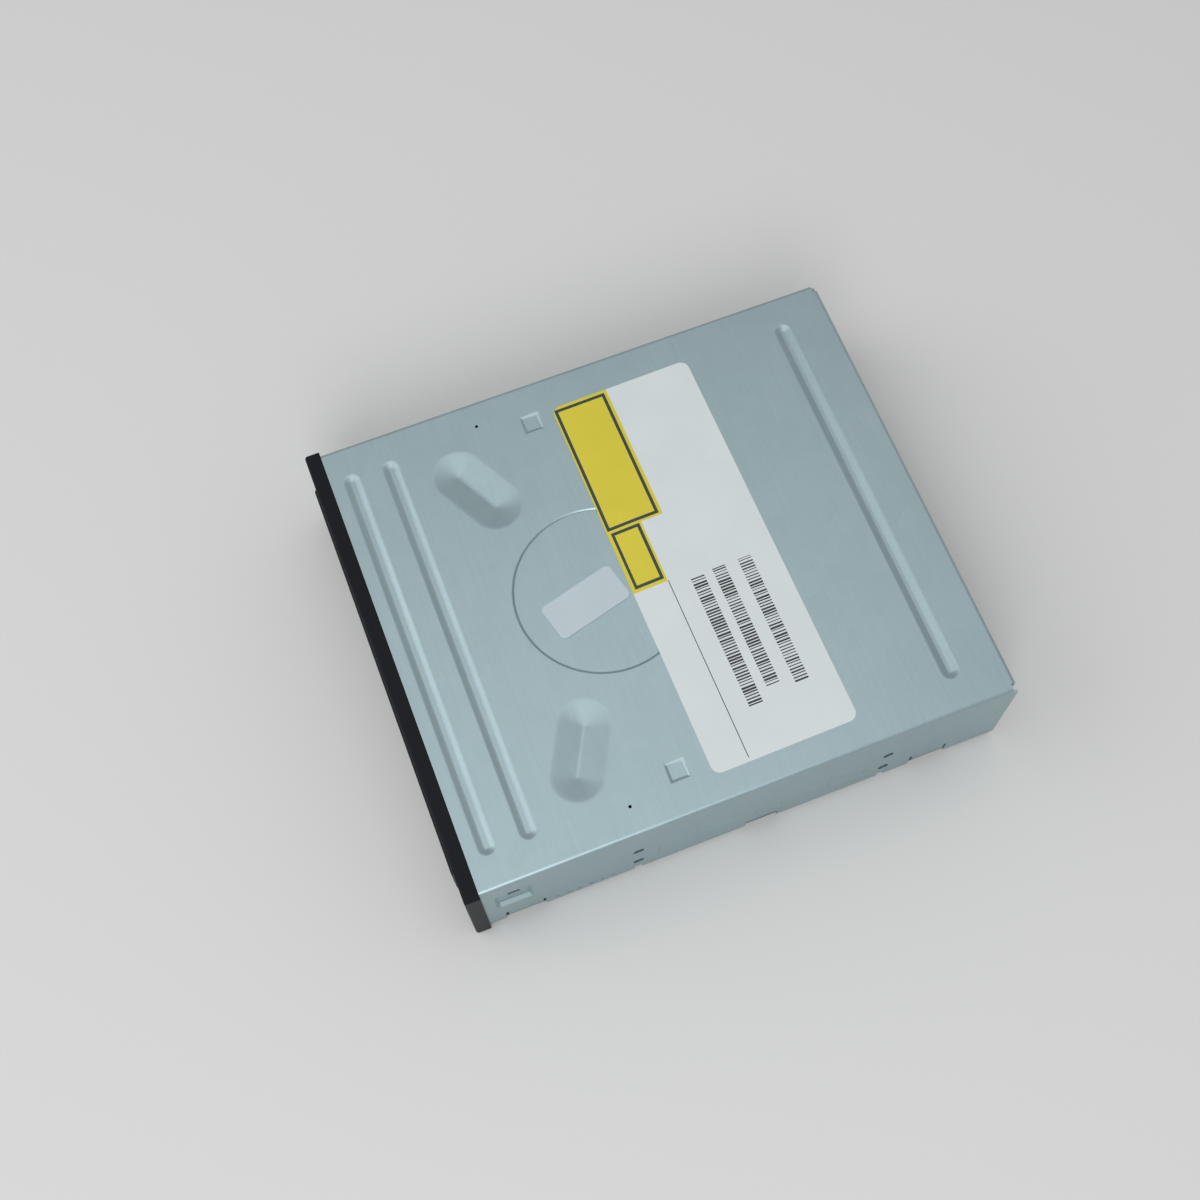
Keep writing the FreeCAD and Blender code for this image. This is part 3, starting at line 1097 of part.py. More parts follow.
def make_boards():
    body = new_body("main_board")
    pad(body, "z", d.board_low, board_top, rectangle(-d.board_half, d.board_front, d.board_half, d.board_rear))
    for side in (-1, 1):
        reach = span(side * d.corner_screw_x, side * (d.board_half + 4))
        pocket(body, "z", d.board_low - 1, board_top + 1,
               rounded([(reach[0], d.corner_screw_rear), (reach[1], d.corner_screw_rear)], d.boss_radius + 0.4))
    pocket(body, "z", d.board_low - 1, board_top + 1, rectangle(-16, d.board_front - 1, 20, d.board_front + 9))
    place(body)

    body = new_body("board_chips", group=True)
    for x, y, long, wide, tall in ((-6, 126, 24, 24, 1.4), (24, 118, 14, 20, 1.2), (-30, 118, 12, 16, 1.6),
                                   (22, 142, 18, 8, 1.2), (-56, 118, 10, 14, 1.8)):
        pad(body, "z", board_top, board_top + tall,
            rectangle(x - long / 2, y - wide / 2, x + long / 2, y + wide / 2))
    place(body)

    body = new_body("capacitors", group=True)
    for x, y in ((57, 104), (57, 114), (-57, 100), (57, 132)):
        pad(body, "z", board_top, board_top + 1, rectangle(x - 3.3, y - 3.3, x + 3.3, y + 3.3))
        pad(body, "z", board_top + 0.9, board_top + 5.8, circle(x, y, 3.1))
    place(body)

    body = new_body("ribbon_socket")
    pad(body, "z", board_top, board_top + 2.2, rectangle(-50, 124, -44, 146))
    pocket(body, "z", board_top + 3, board_top + 0.8, rectangle(-48.6, 125.5, -47.6, 144.5))
    place(body)

    body = new_body("front_board")
    back = d.frame_front
    face = back - d.front_board_thick
    pad(body, "y", face, back,
        rectangle(d.front_board_left, d.front_board_low, d.front_board_right, d.front_board_high))
    place(body)

    body = new_body("tact_switch")
    tip = face - 2.6
    pad(body, "y", face - 2.1, face,
        rectangle(d.button_x - 3, d.control_z - 3, d.button_x + 3, d.control_z + 3))
    pad(body, "y", tip, face - 2.0, circle(d.button_x, d.control_z, 1.7))
    place(body)

    body = new_body("indicator_lamp")
    pad(body, "y", face - 0.8, face,
        rectangle(d.light_x - 1.6, d.control_z - 0.8, d.light_x + 1.6, d.control_z + 0.8))
    place(body)


def pin_row(count, centre):
    return [centre + (i - (count - 1) / 2) * d.pin_pitch for i in range(count)]


def make_connectors():
    rear = d.cover_depth
    body = new_body("data_connector")
    low = board_top
    high = low + d.data_height
    left = d.data_x - d.data_width / 2
    right = d.data_x + d.data_width / 2
    floor = rear - d.data_length + 1.6
    pad(body, "y", rear - d.data_length, rear, rectangle(left, low, right, high))
    pocket(body, "y", rear + 1, floor,
           rectangle(left + d.shell_wall, low + d.shell_wall, right - d.shell_wall, high - d.shell_wall))
    pocket(body, "y", rear + 1, floor, rectangle(d.data_x - 2.25, high - d.shell_wall - 0.1, d.data_x + 2.25, high + 1))
    place(body)

    body = new_body("data_pins", group=True)
    middle = (low + high) / 2
    half = d.pin_size / 2
    columns = pin_row(20, d.data_x)
    # a full upper row, and a lower row with one pin missing for the key
    for first, count, side in ((0, 20, 1), (0, 9, -1), (10, 10, -1)):
        x = columns[first]
        z = middle + side * d.pin_pitch / 2
        pin = pad(body, "y", floor, rear - 1.8, rectangle(x - half, z - half, x + half, z + half))
        row_of(body, pin, "X_Axis", d.pin_pitch, count)
    place(body)

    body = new_body("power_connector")
    left = d.power_x - d.power_width / 2
    right = d.power_x + d.power_width / 2
    high = low + d.power_height
    front = rear_reach - d.power_length
    cavity = front + 2.5
    cut = as_size(2.6)
    pad(body, "y", front, rear_reach,
        polygon((left, low), (right, low), (right, high - cut), (right - cut, high), (left + cut, high),
                (left, high - cut)))
    wall = d.shell_wall
    slant = cut - 0.4
    pocket(body, "y", rear_reach + 1, cavity,
           polygon((left + wall, low + wall), (right - wall, low + wall), (right - wall, high - wall - slant),
                   (right - wall - slant, high - wall), (left + wall + slant, high - wall),
                   (left + wall, high - wall - slant)))
    place(body)

    body = new_body("power_pins", group=True)
    middle = low + d.power_height / 2
    pins = [circle(d.power_x + (i - 1.5) * d.power_pitch, middle, d.power_pin) for i in range(4)]
    pad(body, "y", cavity, rear_reach - 3, *pins)
    place(body)

    body = new_body("jumper_block")
    base_front = rear - 7.0
    columns = pin_row(3, d.jumper_x)
    pad(body, "y", base_front, base_front + 2.5,
        rectangle(columns[0] - 1.27, low, columns[2] + 1.27, low + 5.08))
    for x in columns:
        for z in (low + 1.27, low + 3.81):
            pad(body, "y", base_front + 2.4, rear - 0.4, rectangle(x - half, z - half, x + half, z + half))
    place(body)

    body = new_body("jumper_cap")
    x = columns[2]
    pad(body, "y", base_front + 2.9, rear + 0.6, rectangle(x - 1.2, low + 0.1, x + 1.2, low + 5.0))
    pocket(body, "y", base_front + 2, rear,
           *[rectangle(x - half - 0.05, z - half - 0.05, x + half + 0.05, z + half + 0.05)
             for z in (low + 1.27, low + 3.81)])
    place(body)

    for name, count, centre in (("analogue_connector", 4, d.analogue_x), ("digital_connector", 2, d.digital_x)):
        body = new_body(name)
        columns = pin_row(count, centre)
        left = columns[0] - 2.3
        right = columns[-1] + 2.3
        top = low + d.socket_height
        pad(body, "y", rear - d.socket_length, rear, rectangle(left, low, right, top))
        pocket(body, "y", rear + 1, rear - d.socket_length + 1.5,
               rectangle(left + 0.9, low + 0.9, right - 0.9, top - 0.9))
        for x in columns:
            z = (low + top) / 2
            pad(body, "y", rear - d.socket_length + 1.4, rear - 1.5,
                rectangle(x - half, z - half, x + half, z + half))
        place(body)


# Fasteners and labels


def make_fasteners():
    body = new_body("cover_screws", group=True)
    for side in (-1, 1):
        for y in (d.corner_screw_front, d.corner_screw_rear):
            x = side * d.corner_screw_x
            pad(body, "z", 0.1, d.steel - 0.05, circle(x, y, d.screw_core + 0.35))
            pad(body, "z", d.steel - 0.1, 7, circle(x, y, d.screw_core - 0.04))
    place(body)

    body = new_body("bridge_screws", group=True)
    heads = [circle(x, y, 2.1) for x, y in bridge_screws]
    shanks = [circle(x, y, d.screw_core - 0.04) for x, y in bridge_screws]
    pad(body, "z", bridge_top, bridge_top + 1.5, *heads)
    pad(body, "z", d.frame_top - 4, bridge_top + 0.1, *shanks)
    place(body)


def make_labels():
    body = new_body("rating_label")
    half_x = d.label_length / 2
    half_y = d.label_depth / 2
    pad(body, "z", 0, d.label_thick, rounded_rectangle(-half_x, -half_y, half_x, half_y, d.label_round))
    place(body, d.label_x, d.label_y, d.cover_height, angle=d.label_turn)

    body = new_body("part_sticker")
    half_x = d.sticker_width / 2
    half_y = d.sticker_depth / 2
    pad(body, "z", 0, d.label_thick, rounded_rectangle(-half_x, -half_y, half_x, half_y, d.sticker_round))
    place(body, d.sticker_x, d.sticker_y, d.cover_height - d.step_depth, angle=d.sticker_turn)


make_top_cover()
make_bottom_cover()
make_bezel()
make_tray_front()
make_button_and_light()
make_main_frame()
make_disc_tray()
make_gears()
make_loading_motor()
make_cam_slider()
make_traverse()
make_spindle()
make_pickup()
make_sled_drive()
make_clamp()
make_boards()
make_connectors()
make_fasteners()
make_labels()
doc.recompute()

for item in doc.Objects:
    if "Invalid" in item.State or "Error" in item.State:
        raise RuntimeError("failed object: " + item.Label)
for name, piece in pieces.items():
    if piece.Shape.isNull() or not piece.Shape.isValid():
        raise RuntimeError("bad shape: " + name)

os.makedirs("parts", exist_ok=True)
for name, piece in pieces.items():
    piece.Shape.exportStep("parts/" + name + ".step")
print(len(pieces), "pieces written")
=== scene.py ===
import json
import math

import bpy
import bmesh
from mathutils import Matrix, Vector


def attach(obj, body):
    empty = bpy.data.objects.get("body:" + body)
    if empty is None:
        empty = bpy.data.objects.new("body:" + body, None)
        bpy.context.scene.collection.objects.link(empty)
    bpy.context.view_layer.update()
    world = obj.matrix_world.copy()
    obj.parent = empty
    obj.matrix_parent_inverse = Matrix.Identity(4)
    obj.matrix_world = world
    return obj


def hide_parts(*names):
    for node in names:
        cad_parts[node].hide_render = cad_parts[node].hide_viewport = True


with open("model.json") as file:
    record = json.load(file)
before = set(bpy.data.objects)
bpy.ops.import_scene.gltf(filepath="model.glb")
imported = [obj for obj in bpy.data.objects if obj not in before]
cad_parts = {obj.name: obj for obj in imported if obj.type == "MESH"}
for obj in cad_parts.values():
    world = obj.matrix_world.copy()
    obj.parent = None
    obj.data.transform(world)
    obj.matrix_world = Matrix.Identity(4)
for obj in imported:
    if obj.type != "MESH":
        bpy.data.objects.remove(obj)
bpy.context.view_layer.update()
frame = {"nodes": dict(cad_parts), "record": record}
bpy.ops.object.select_all(action="DESELECT")
slotOf = {sub["node"]: sub["material_slot"] for sub in frame["record"]["subparts"]}
bodies = frame["record"]["behaviour"]["bodies"]
bodyOf = {node: body for body, nodes in bodies.items() for node in nodes}
# mm: the bezel's rear face as the row's y, half the case's width, its top, its sheet's thickness
drive = {"bezelRear": -80.35, "halfWidth": 73, "top": 41.3, "sheet": 0.8}
print("frame loaded:", len(frame["nodes"]), "nodes")


# colours and nodes

def linear(colour):
    # sRGB hex to the linear values that sockets take
    channels = [int(colour[i:i + 2], 16) / 255 for i in (1, 3, 5)]
    return [c / 12.92 if c <= 0.04045 else ((c + 0.055) / 1.055) ** 2.4 for c in channels] + [1.0]


def every(size):
    # a pattern's scale from its size in mm on the real thing
    return 1000 / size


def addNode(tree, kind, settings={}, links={}):
    node = tree.nodes.new("ShaderNode" + kind)
    for key, value in settings.items():
        if isinstance(key, int) or key in node.inputs:
            node.inputs[key].default_value = value
        else:
            setattr(node, key, value)
    for key, source in links.items():
        tree.links.new(source, node.inputs[key])
    return node


def newFinish(name, settings):
    finish = bpy.data.materials.new(name)
    finish.use_nodes = True
    tree = finish.node_tree
    shader = tree.nodes["Principled BSDF"]
    for key, value in settings.items():
        shader.inputs[key].default_value = value
    place = addNode(tree, "TexCoord").outputs["Object"]
    return finish, tree, shader, place


def joinPatterns(tree, shader, look, shade, sheen=None, rough=None, relief=None, bump=None):
    # one pattern runs the colour from dark to light, one the roughness, and one stands as relief,
    # with bump as (strength, height in mm)
    colour = addNode(tree, "Mix", {"data_type": "RGBA", "A": linear(look["dark"]),
                                   "B": linear(look["light"])}, {"Factor": shade})
    tree.links.new(colour.outputs["Result"], shader.inputs["Base Color"])
    if rough:
        dull = addNode(tree, "MapRange", {"To Min": rough[0], "To Max": rough[1]}, {"Value": sheen})
        tree.links.new(dull.outputs["Result"], shader.inputs["Roughness"])
    if bump:
        raised = addNode(tree, "Bump", {"Strength": bump[0], "Distance": bump[1] / 1000},
                         {"Height": relief})
        tree.links.new(raised.outputs["Normal"], shader.inputs["Normal"])


# finishes; sizes are in mm

def galvanisedSteel(name, look):
    # zinc-coated sheet: soft frosted sheen, faint crystal flakes, a fine rolling grain along x;
    # grain and specks are drawn some ten times as coarse as the real ones, so that they show
    zinc = {"rolled": (30, 0.9, 0.9), "cloud": 45, "speck": 0.6,
            "cloudShare": 0.45, "grainShare": 0.45, "flakeShare": 0.10,
            "brighter": 0.06, "duller": 0.08, "bump": (0.10, 0.12)}
    finish, tree, shader, place = newFinish(name, {"Metallic": 1.0})
    stretch = addNode(tree, "Mapping", {"Scale": [every(size) for size in zinc["rolled"]]},
                      {"Vector": place})
    grain = addNode(tree, "TexNoise", {"Scale": 1.0, "Detail": 4.0, "Roughness": 0.6},
                    {"Vector": stretch.outputs["Vector"]}).outputs["Fac"]
    flakes = addNode(tree, "TexVoronoi", {"Scale": every(look["flake"]), "feature": "F1"},
                     {"Vector": place})
    clouds = addNode(tree, "TexNoise", {"Scale": every(zinc["cloud"]), "Detail": 3.0},
                     {"Vector": place}).outputs["Fac"]
    specks = addNode(tree, "TexNoise", {"Scale": every(zinc["speck"]), "Detail": 2.0},
                     {"Vector": place}).outputs["Fac"]
    wide = addNode(tree, "Math", {"operation": "MULTIPLY", 1: zinc["cloudShare"]}, {0: clouds})
    fine = addNode(tree, "Math", {"operation": "MULTIPLY_ADD", 1: zinc["grainShare"]},
                   {0: grain, 2: wide.outputs[0]})
    flake = addNode(tree, "SeparateColor", {}, {"Color": flakes.outputs["Color"]})
    shade = addNode(tree, "Math", {"operation": "MULTIPLY_ADD", 1: zinc["flakeShare"]},
                    {0: flake.outputs["Red"], 2: fine.outputs[0]})
    height = addNode(tree, "Math", {"operation": "ADD"}, {0: grain, 1: specks})
    joinPatterns(tree, shader, look, shade.outputs[0],
                 clouds, (look["rough"] - zinc["brighter"], look["rough"] + zinc["duller"]),
                 height.outputs[0], zinc["bump"])
    return finish


def mouldedPlastic(name, look):
    # injection-moulded plastic: an even colour with the mould's spark-eroded texture, whose grit
    # of about 0.05 mm is drawn ten times as coarse, so that it shows
    mould = {"ior": 1.52, "gloss": 0.5, "flow": 25, "spread": 0.07, "strength": 0.25,
             "height": 0.08}
    gloss = look.get("gloss", mould["gloss"])
    finish, tree, shader, place = newFinish(name, {"IOR": mould["ior"],
                                                   "Specular IOR Level": gloss})
    texture = addNode(tree, "TexNoise", {"Scale": every(look["grit"]), "Detail": 3.0,
                                         "Roughness": 0.6}, {"Vector": place}).outputs["Fac"]
    flow = addNode(tree, "TexNoise", {"Scale": every(mould["flow"]), "Detail": 2.0},
                   {"Vector": place})
    joinPatterns(tree, shader, look, flow.outputs["Fac"],
                 texture, (look["rough"] - mould["spread"], look["rough"] + mould["spread"]),
                 texture, (look.get("bump", mould["strength"]), mould["height"]))
    return finish


def brightSteel(name, look):
    # drawn, turned or stamped metal: fine lines along one axis, drawn wider than a tool's own
    # marks, which are too fine to show
    worked = {"brighter": 0.05, "duller": 0.08, "bump": (0.12, 0.05)}
    finish, tree, shader, place = newFinish(name, {"Metallic": 1.0})
    stretch = addNode(tree, "Mapping", {"Scale": [every(size) for size in look["lines"]]},
                      {"Vector": place})
    lines = addNode(tree, "TexNoise", {"Scale": 1.0, "Detail": 3.0},
                    {"Vector": stretch.outputs["Vector"]}).outputs["Fac"]
    joinPatterns(tree, shader, look, lines,
                 lines, (look["rough"] - worked["brighter"], look["rough"] + worked["duller"]),
                 lines, worked["bump"])
    return finish


def softRubber(name, look):
    # moulded rubber: dull, with a dusty bloom
    rubber = {"ior": 1.5, "bloom": 4, "rough": (0.65, 0.9), "bump": (0.2, 0.06)}
    finish, tree, shader, place = newFinish(name, {"IOR": rubber["ior"]})
    bloom = addNode(tree, "TexNoise", {"Scale": every(rubber["bloom"]), "Detail": 5.0},
                    {"Vector": place}).outputs["Fac"]
    joinPatterns(tree, shader, look, bloom, bloom, rubber["rough"], bloom, rubber["bump"])
    return finish


def solderMask(name, look):
    # green lacquered laminate: raised copper tracks under the lacquer, glass weave below
    board = {"field": 4, "track": 0.12, "edge": (0.05, 0.07), "weave": 0.7,
             "rough": (0.25, 0.4), "bump": (0.3, 0.05)}
    lacquer = {"IOR": 1.55, "Coat Weight": 0.3, "Coat Roughness": 0.15}
    finish, tree, shader, place = newFinish(name, lacquer)
    fields = addNode(tree, "TexVoronoi", {"Scale": every(board["field"]), "distance": "CHEBYCHEV",
                                          "feature": "F1"}, {"Vector": place})
    bands = addNode(tree, "Math", {"operation": "PINGPONG", 1: board["track"]},
                    {0: fields.outputs["Distance"]})
    tracks = addNode(tree, "MapRange", {"From Min": board["edge"][0], "From Max": board["edge"][1]},
                     {"Value": bands.outputs[0]}).outputs["Result"]
    weave = addNode(tree, "TexNoise", {"Scale": every(board["weave"])}, {"Vector": place})
    joinPatterns(tree, shader, look, tracks,
                 weave.outputs["Fac"], board["rough"], tracks, board["bump"])
    return finish


def clearPart(name, look):
    # moulded clear plastic or coated glass: light passes, with a breath of haze
    clear = {"haze": 1.5, "duller": 0.08}
    finish, tree, shader, place = newFinish(name, {"IOR": look["ior"],
                                                   "Transmission Weight": look["clear"]})
    haze = addNode(tree, "TexNoise", {"Scale": every(clear["haze"])},
                   {"Vector": place}).outputs["Fac"]
    joinPatterns(tree, shader, look, haze, haze, (look["rough"], look["rough"] + clear["duller"]))
    return finish


def printedFilm(name, look):
    # printed polyester label film: even ink under a satin skin with faint handling marks, and a
    # tooth that is drawn as coarse as it needs to show
    film = {"ior": 1.5, "fibre": 0.8, "mark": 20, "spread": 0.08, "bump": (0.08, 0.03)}
    finish, tree, shader, place = newFinish(name, {"IOR": film["ior"]})
    fibre = addNode(tree, "TexNoise", {"Scale": every(film["fibre"]), "Detail": 4.0},
                    {"Vector": place})
    marks = addNode(tree, "TexNoise", {"Scale": every(film["mark"]), "Detail": 5.0,
                                       "Roughness": 0.6}, {"Vector": place}).outputs["Fac"]
    joinPatterns(tree, shader, look, marks,
                 marks, (look["rough"] - film["spread"], look["rough"] + film["spread"]),
                 fibre.outputs["Fac"], film["bump"])
    return finish


def barInk(name, look):
    # black thermal print: upright bars on the white film, each as wide as a throw of dice says
    finish, tree, shader, place = newFinish(name, {"IOR": 1.5, "Roughness": 0.45})
    turn = Matrix.Rotation(-math.radians(look["turn"]), 3, "Z")
    level = addNode(tree, "Mapping", {"Rotation": turn.to_euler(),
                                      "Location": -(turn @ look["middle"])}, {"Vector": place})
    across = addNode(tree, "SeparateXYZ", {}, {"Vector": level.outputs["Vector"]})
    step = addNode(tree, "Math", {"operation": "DIVIDE", 1: look["bar"] / 1000},
                   {0: across.outputs["X"]})
    cell = addNode(tree, "Math", {"operation": "FLOOR"}, {0: step.outputs[0]})
    part = addNode(tree, "Math", {"operation": "FRACT"}, {0: step.outputs[0]})
    row = addNode(tree, "Math", {"operation": "SNAP", 1: look["strip"] / 1000},
                  {0: across.outputs["Y"]})
    both = addNode(tree, "CombineXYZ", {}, {"X": cell.outputs[0], "Y": row.outputs[0]})
    dice = addNode(tree, "TexWhiteNoise", {"noise_dimensions": "2D"},
                   {"Vector": both.outputs["Vector"]})
    wide = addNode(tree, "Math", {"operation": "MULTIPLY_ADD", 1: look["spread"], 2: look["least"]},
                   {0: dice.outputs["Value"]})
    ink = addNode(tree, "Math", {"operation": "LESS_THAN"},
                  {0: part.outputs[0], 1: wide.outputs[0]})
    joinPatterns(tree, shader, look, ink.outputs[0])
    return finish


# length along x, y and z of the lines that a tool leaves
acrossLines = (20, 0.4, 0.4)
lengthLines = (0.4, 20, 0.4)
turnedLines = (0.6, 0.6, 0.2)
castGrain = (0.8, 0.8, 0.8)

finishes = {
    # galvanised steel sheet, pressed: pale blue-grey with a satin sheen
    "case_steel": galvanisedSteel("zincCoatedCover", {"dark": "#98ADB2", "light": "#AFC3C8",
                                                      "rough": 0.42, "flake": 7}),
    # the same sheet for the base: greyer and a little smoother
    "base_steel": galvanisedSteel("zincCoatedBase", {"dark": "#93A1A6", "light": "#B4BFC3",
                                                     "rough": 0.36, "flake": 6}),
    # ABS, moulded with an eroded face: near black, with hardly a shine
    "bezel_plastic": mouldedPlastic("bezelAbs", {"dark": "#090C12", "light": "#0E121A",
                                                 "rough": 0.5, "grit": 0.6, "gloss": 0.16}),
    # ABS, moulded against a smoother steel: the button shines a little more than the bezel
    "button_plastic": mouldedPlastic("buttonAbs", {"dark": "#0F1219", "light": "#141822",
                                                   "rough": 0.3, "grit": 0.7, "bump": 0.1,
                                                   "gloss": 0.35}),
    # acrylic, moulded and frosted: milky, so that a lamp behind it spreads
    "light_plastic": clearPart("frostedAcrylic", {"dark": "#C9D2CC", "light": "#DDE4DF",
                                                  "rough": 0.3, "clear": 0.7, "ior": 1.49}),
    # filled ABS, moulded: a dull charcoal
    "frame_plastic": mouldedPlastic("filledAbsFrame", {"dark": "#1B1C1F", "light": "#232528",
                                                       "rough": 0.5, "grit": 0.8}),
    # ABS, moulded finely: an even dark face for the disc to lie on
    "tray_plastic": mouldedPlastic("trayAbs", {"dark": "#191B1F", "light": "#212328",
                                               "rough": 0.45, "grit": 0.6}),
    # acetal, moulded uncoloured: warm white and slightly waxy
    "gear_plastic": mouldedPlastic("naturalAcetal", {"dark": "#DAD7CB", "light": "#E6E3D8",
                                                     "rough": 0.35, "grit": 1, "bump": 0.1}),
    # acetal of another batch for the slide: a shade yellower
    "slider_plastic": mouldedPlastic("naturalAcetalSlide", {"dark": "#CFCBBD", "light": "#DDD9CC",
                                                            "rough": 0.38, "grit": 1, "bump": 0.1}),
    # chloroprene, moulded and ground: black and matt
    "belt_rubber": softRubber("beltRubber", {"dark": "#141414", "light": "#1E1E1D"}),
    # steel can, deep drawn: bright, with rings round it
    "motor_steel": brightSteel("drawnSteelCan", {"dark": "#A6A8A8", "light": "#C2C4C3",
                                                 "rough": 0.3, "lines": turnedLines}),
    # stainless rod, ground: the brightest metal, almost a mirror
    "shaft_steel": brightSteel("groundSteelRod", {"dark": "#C2C4C6", "light": "#DADCDD",
                                                  "rough": 0.16, "lines": acrossLines}),
    # steel plate, stamped from rolled strip: grey, with lines along the drive
    "plate_steel": brightSteel("stampedSteel", {"dark": "#A9AFB0", "light": "#C3C8C8",
                                                "rough": 0.34, "lines": lengthLines}),
    # butyl rubber, moulded: soft and blue-black
    "damper_rubber": softRubber("damperRubber", {"dark": "#1A1C20", "light": "#26282C"}),
    # steel screws, headed and zinc plated: a warm grey shine
    "screw_steel": brightSteel("zincPlatedScrew", {"dark": "#9C9D98", "light": "#BBBCB5",
                                                   "rough": 0.3, "lines": turnedLines}),
    # ABS, moulded for true running: smooth and dark
    "turntable_plastic": mouldedPlastic("turntableAbs", {"dark": "#17181B", "light": "#202225",
                                                         "rough": 0.4, "grit": 0.6}),
    # silicone pad, moulded: dusty black
    "ring_rubber": softRubber("padRubber", {"dark": "#16171A", "light": "#222327"}),
    # aluminium, diecast and blasted: mid grey with an even grain
    "pickup_metal": brightSteel("diecastAluminium", {"dark": "#85888C", "light": "#A3A6A9",
                                                     "rough": 0.5, "lines": castGrain}),
    # moulded shield under black lacquer: keeps stray light from the lens
    "lens_shield": mouldedPlastic("blackLacquer", {"dark": "#101114", "light": "#17181B",
                                                   "rough": 0.35, "grit": 0.5}),
    # glass, pressed and coated: clear, with a violet-blue cast
    "lens_glass": clearPart("coatedGlass", {"dark": "#8CA3D6", "light": "#B3C4EA",
                                            "rough": 0.03, "clear": 0.85, "ior": 1.6}),
    # galvanised steel strip, folded: like the case, a little greyer
    "bridge_metal": galvanisedSteel("zincCoatedBridge", {"dark": "#98A4A8", "light": "#B5BFC2",
                                                         "rough": 0.38, "flake": 6}),
    # ABS, moulded: a dark disc, smoother than the frame
    "clamper_plastic": mouldedPlastic("clamperAbs", {"dark": "#191A1D", "light": "#232427",
                                                     "rough": 0.42, "grit": 0.7}),
    # ferrite, sintered: brownish black and dull as stone
    "magnet_ferrite": softRubber("sinteredFerrite", {"dark": "#1E1D1D", "light": "#2C2A2A"}),
    # glass-filled laminate, lacquered: green, with paler tracks
    "board_laminate": solderMask("solderMaskGreen", {"dark": "#0F4B2B", "light": "#1A6339"}),
    # epoxy, moulded round the chip: charcoal with a fine tooth
    "chip_resin": mouldedPlastic("chipEpoxy", {"dark": "#121315", "light": "#1A1B1E",
                                               "rough": 0.5, "grit": 0.4}),
    # aluminium can, drawn: silvery, with rings round it
    "can_metal": brightSteel("capacitorCan", {"dark": "#AEB1B4", "light": "#C9CCCE",
                                              "rough": 0.28, "lines": turnedLines}),
    # nylon, moulded uncoloured: ivory
    "socket_plastic": mouldedPlastic("nylonIvory", {"dark": "#D9D3C2", "light": "#E5E0D1",
                                                    "rough": 0.4, "grit": 0.9, "bump": 0.1}),
    # glass-filled polyester, moulded: black with a dry look
    "data_plastic": mouldedPlastic("connectorPbt", {"dark": "#131416", "light": "#1B1C1F",
                                                    "rough": 0.45, "grit": 0.7}),
    # nylon, moulded white: paler than the ivory socket
    "power_plastic": mouldedPlastic("nylonWhite", {"dark": "#DDD8CA", "light": "#E9E5DA",
                                                   "rough": 0.4, "grit": 0.9, "bump": 0.1}),
    # brass pins, drawn and gold flashed: warm and bright
    "pin_metal": brightSteel("goldFlashedPin", {"dark": "#C39A4B", "light": "#DDB868",
                                                "rough": 0.22, "lines": lengthLines}),
    # polyester film, coated white: cool white with a satin skin
    "label_paper": printedFilm("whiteFilm", {"dark": "#C6CED0", "light": "#D2DADC", "rough": 0.42}),
    # polyester film, silvered: stands out from the sheet only by its tone
    "sticker_film": printedFilm("silverFilm", {"dark": "#ADBCC2", "light": "#B8C7CC",
                                               "rough": 0.38}),
}
for node, slotName in slotOf.items():
    frame["nodes"][node].data.materials.clear()
    frame["nodes"][node].data.materials.append(finishes[slotName])
print("finishes set:", len(finishes))


# working helpers

def mm(x, y, z):
    # a place in mm from the middle of the case's front edge, at the base
    return Vector((x / 1000, (y + drive["bezelRear"]) / 1000, z / 1000))


def only(*pieces):
    bpy.ops.object.select_all(action="DESELECT")
    for piece in pieces:
        piece.select_set(True)
    bpy.context.view_layer.objects.active = pieces[0]


def joined(*pieces):
    only(*pieces)
    bpy.ops.object.join()
    return bpy.context.object


def startEdit():
    bpy.ops.object.mode_set(mode="EDIT")
    bpy.ops.mesh.select_all(action="SELECT")


def endEdit():
    bpy.ops.object.mode_set(mode="OBJECT")


def fixPlace():
    bpy.ops.object.transform_apply(location=True, rotation=True, scale=True)


def mergeCorners(apart=0.001):
    bpy.ops.mesh.select_all(action="SELECT")
    bpy.ops.mesh.remove_doubles(threshold=apart / 1000)


def shapeBy(piece, name, kind, settings):
    # a modifier, set and applied
    modifier = piece.modifiers.new(name, kind)
    for key, value in settings.items():
        setattr(modifier, key, value)
    only(piece)
    bpy.ops.object.modifier_apply(modifier=name)


def settle(piece, body, finish=None):
    # the place goes into the mesh, and the piece rides on its body
    only(piece)
    fixPlace()
    if finish is not None:
        piece.data.materials.clear()
        piece.data.materials.append(finish)
    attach(piece, body)


def pick(piece, faces=None, edges=None):
    # selects, in edit mode, the faces or edges that pass the test, and nothing else
    mesh = bmesh.from_edit_mesh(piece.data)
    for part in (mesh.verts, mesh.edges, mesh.faces):
        for item in part:
            item.select_set(False)
    for face in mesh.faces if faces else ():
        if faces(face.calc_center_median() * 1000, face.normal):
            face.select_set(True)
    for edge in mesh.edges if edges else ():
        if edges(edge, [corner.co * 1000 for corner in edge.verts]):
            edge.select_set(True)
    bmesh.update_edit_mesh(piece.data)


def copyPiece(source, name):
    piece = source.copy()
    piece.data = piece.data.copy()
    piece.name = name
    bpy.context.scene.collection.objects.link(piece)
    only(piece)
    return piece


def copyNode(node, name):
    # the node's own triangles, joined into one skin, as a start for a finer piece
    piece = copyPiece(frame["nodes"][node], name)
    bpy.ops.mesh.customdata_custom_splitnormals_clear()
    startEdit()
    mergeCorners()
    endEdit()
    return piece


def makeFacesWhole(delimit):
    bpy.ops.mesh.select_all(action="SELECT")
    bpy.ops.mesh.dissolve_limited(angle_limit=math.radians(0.5), delimit=delimit)


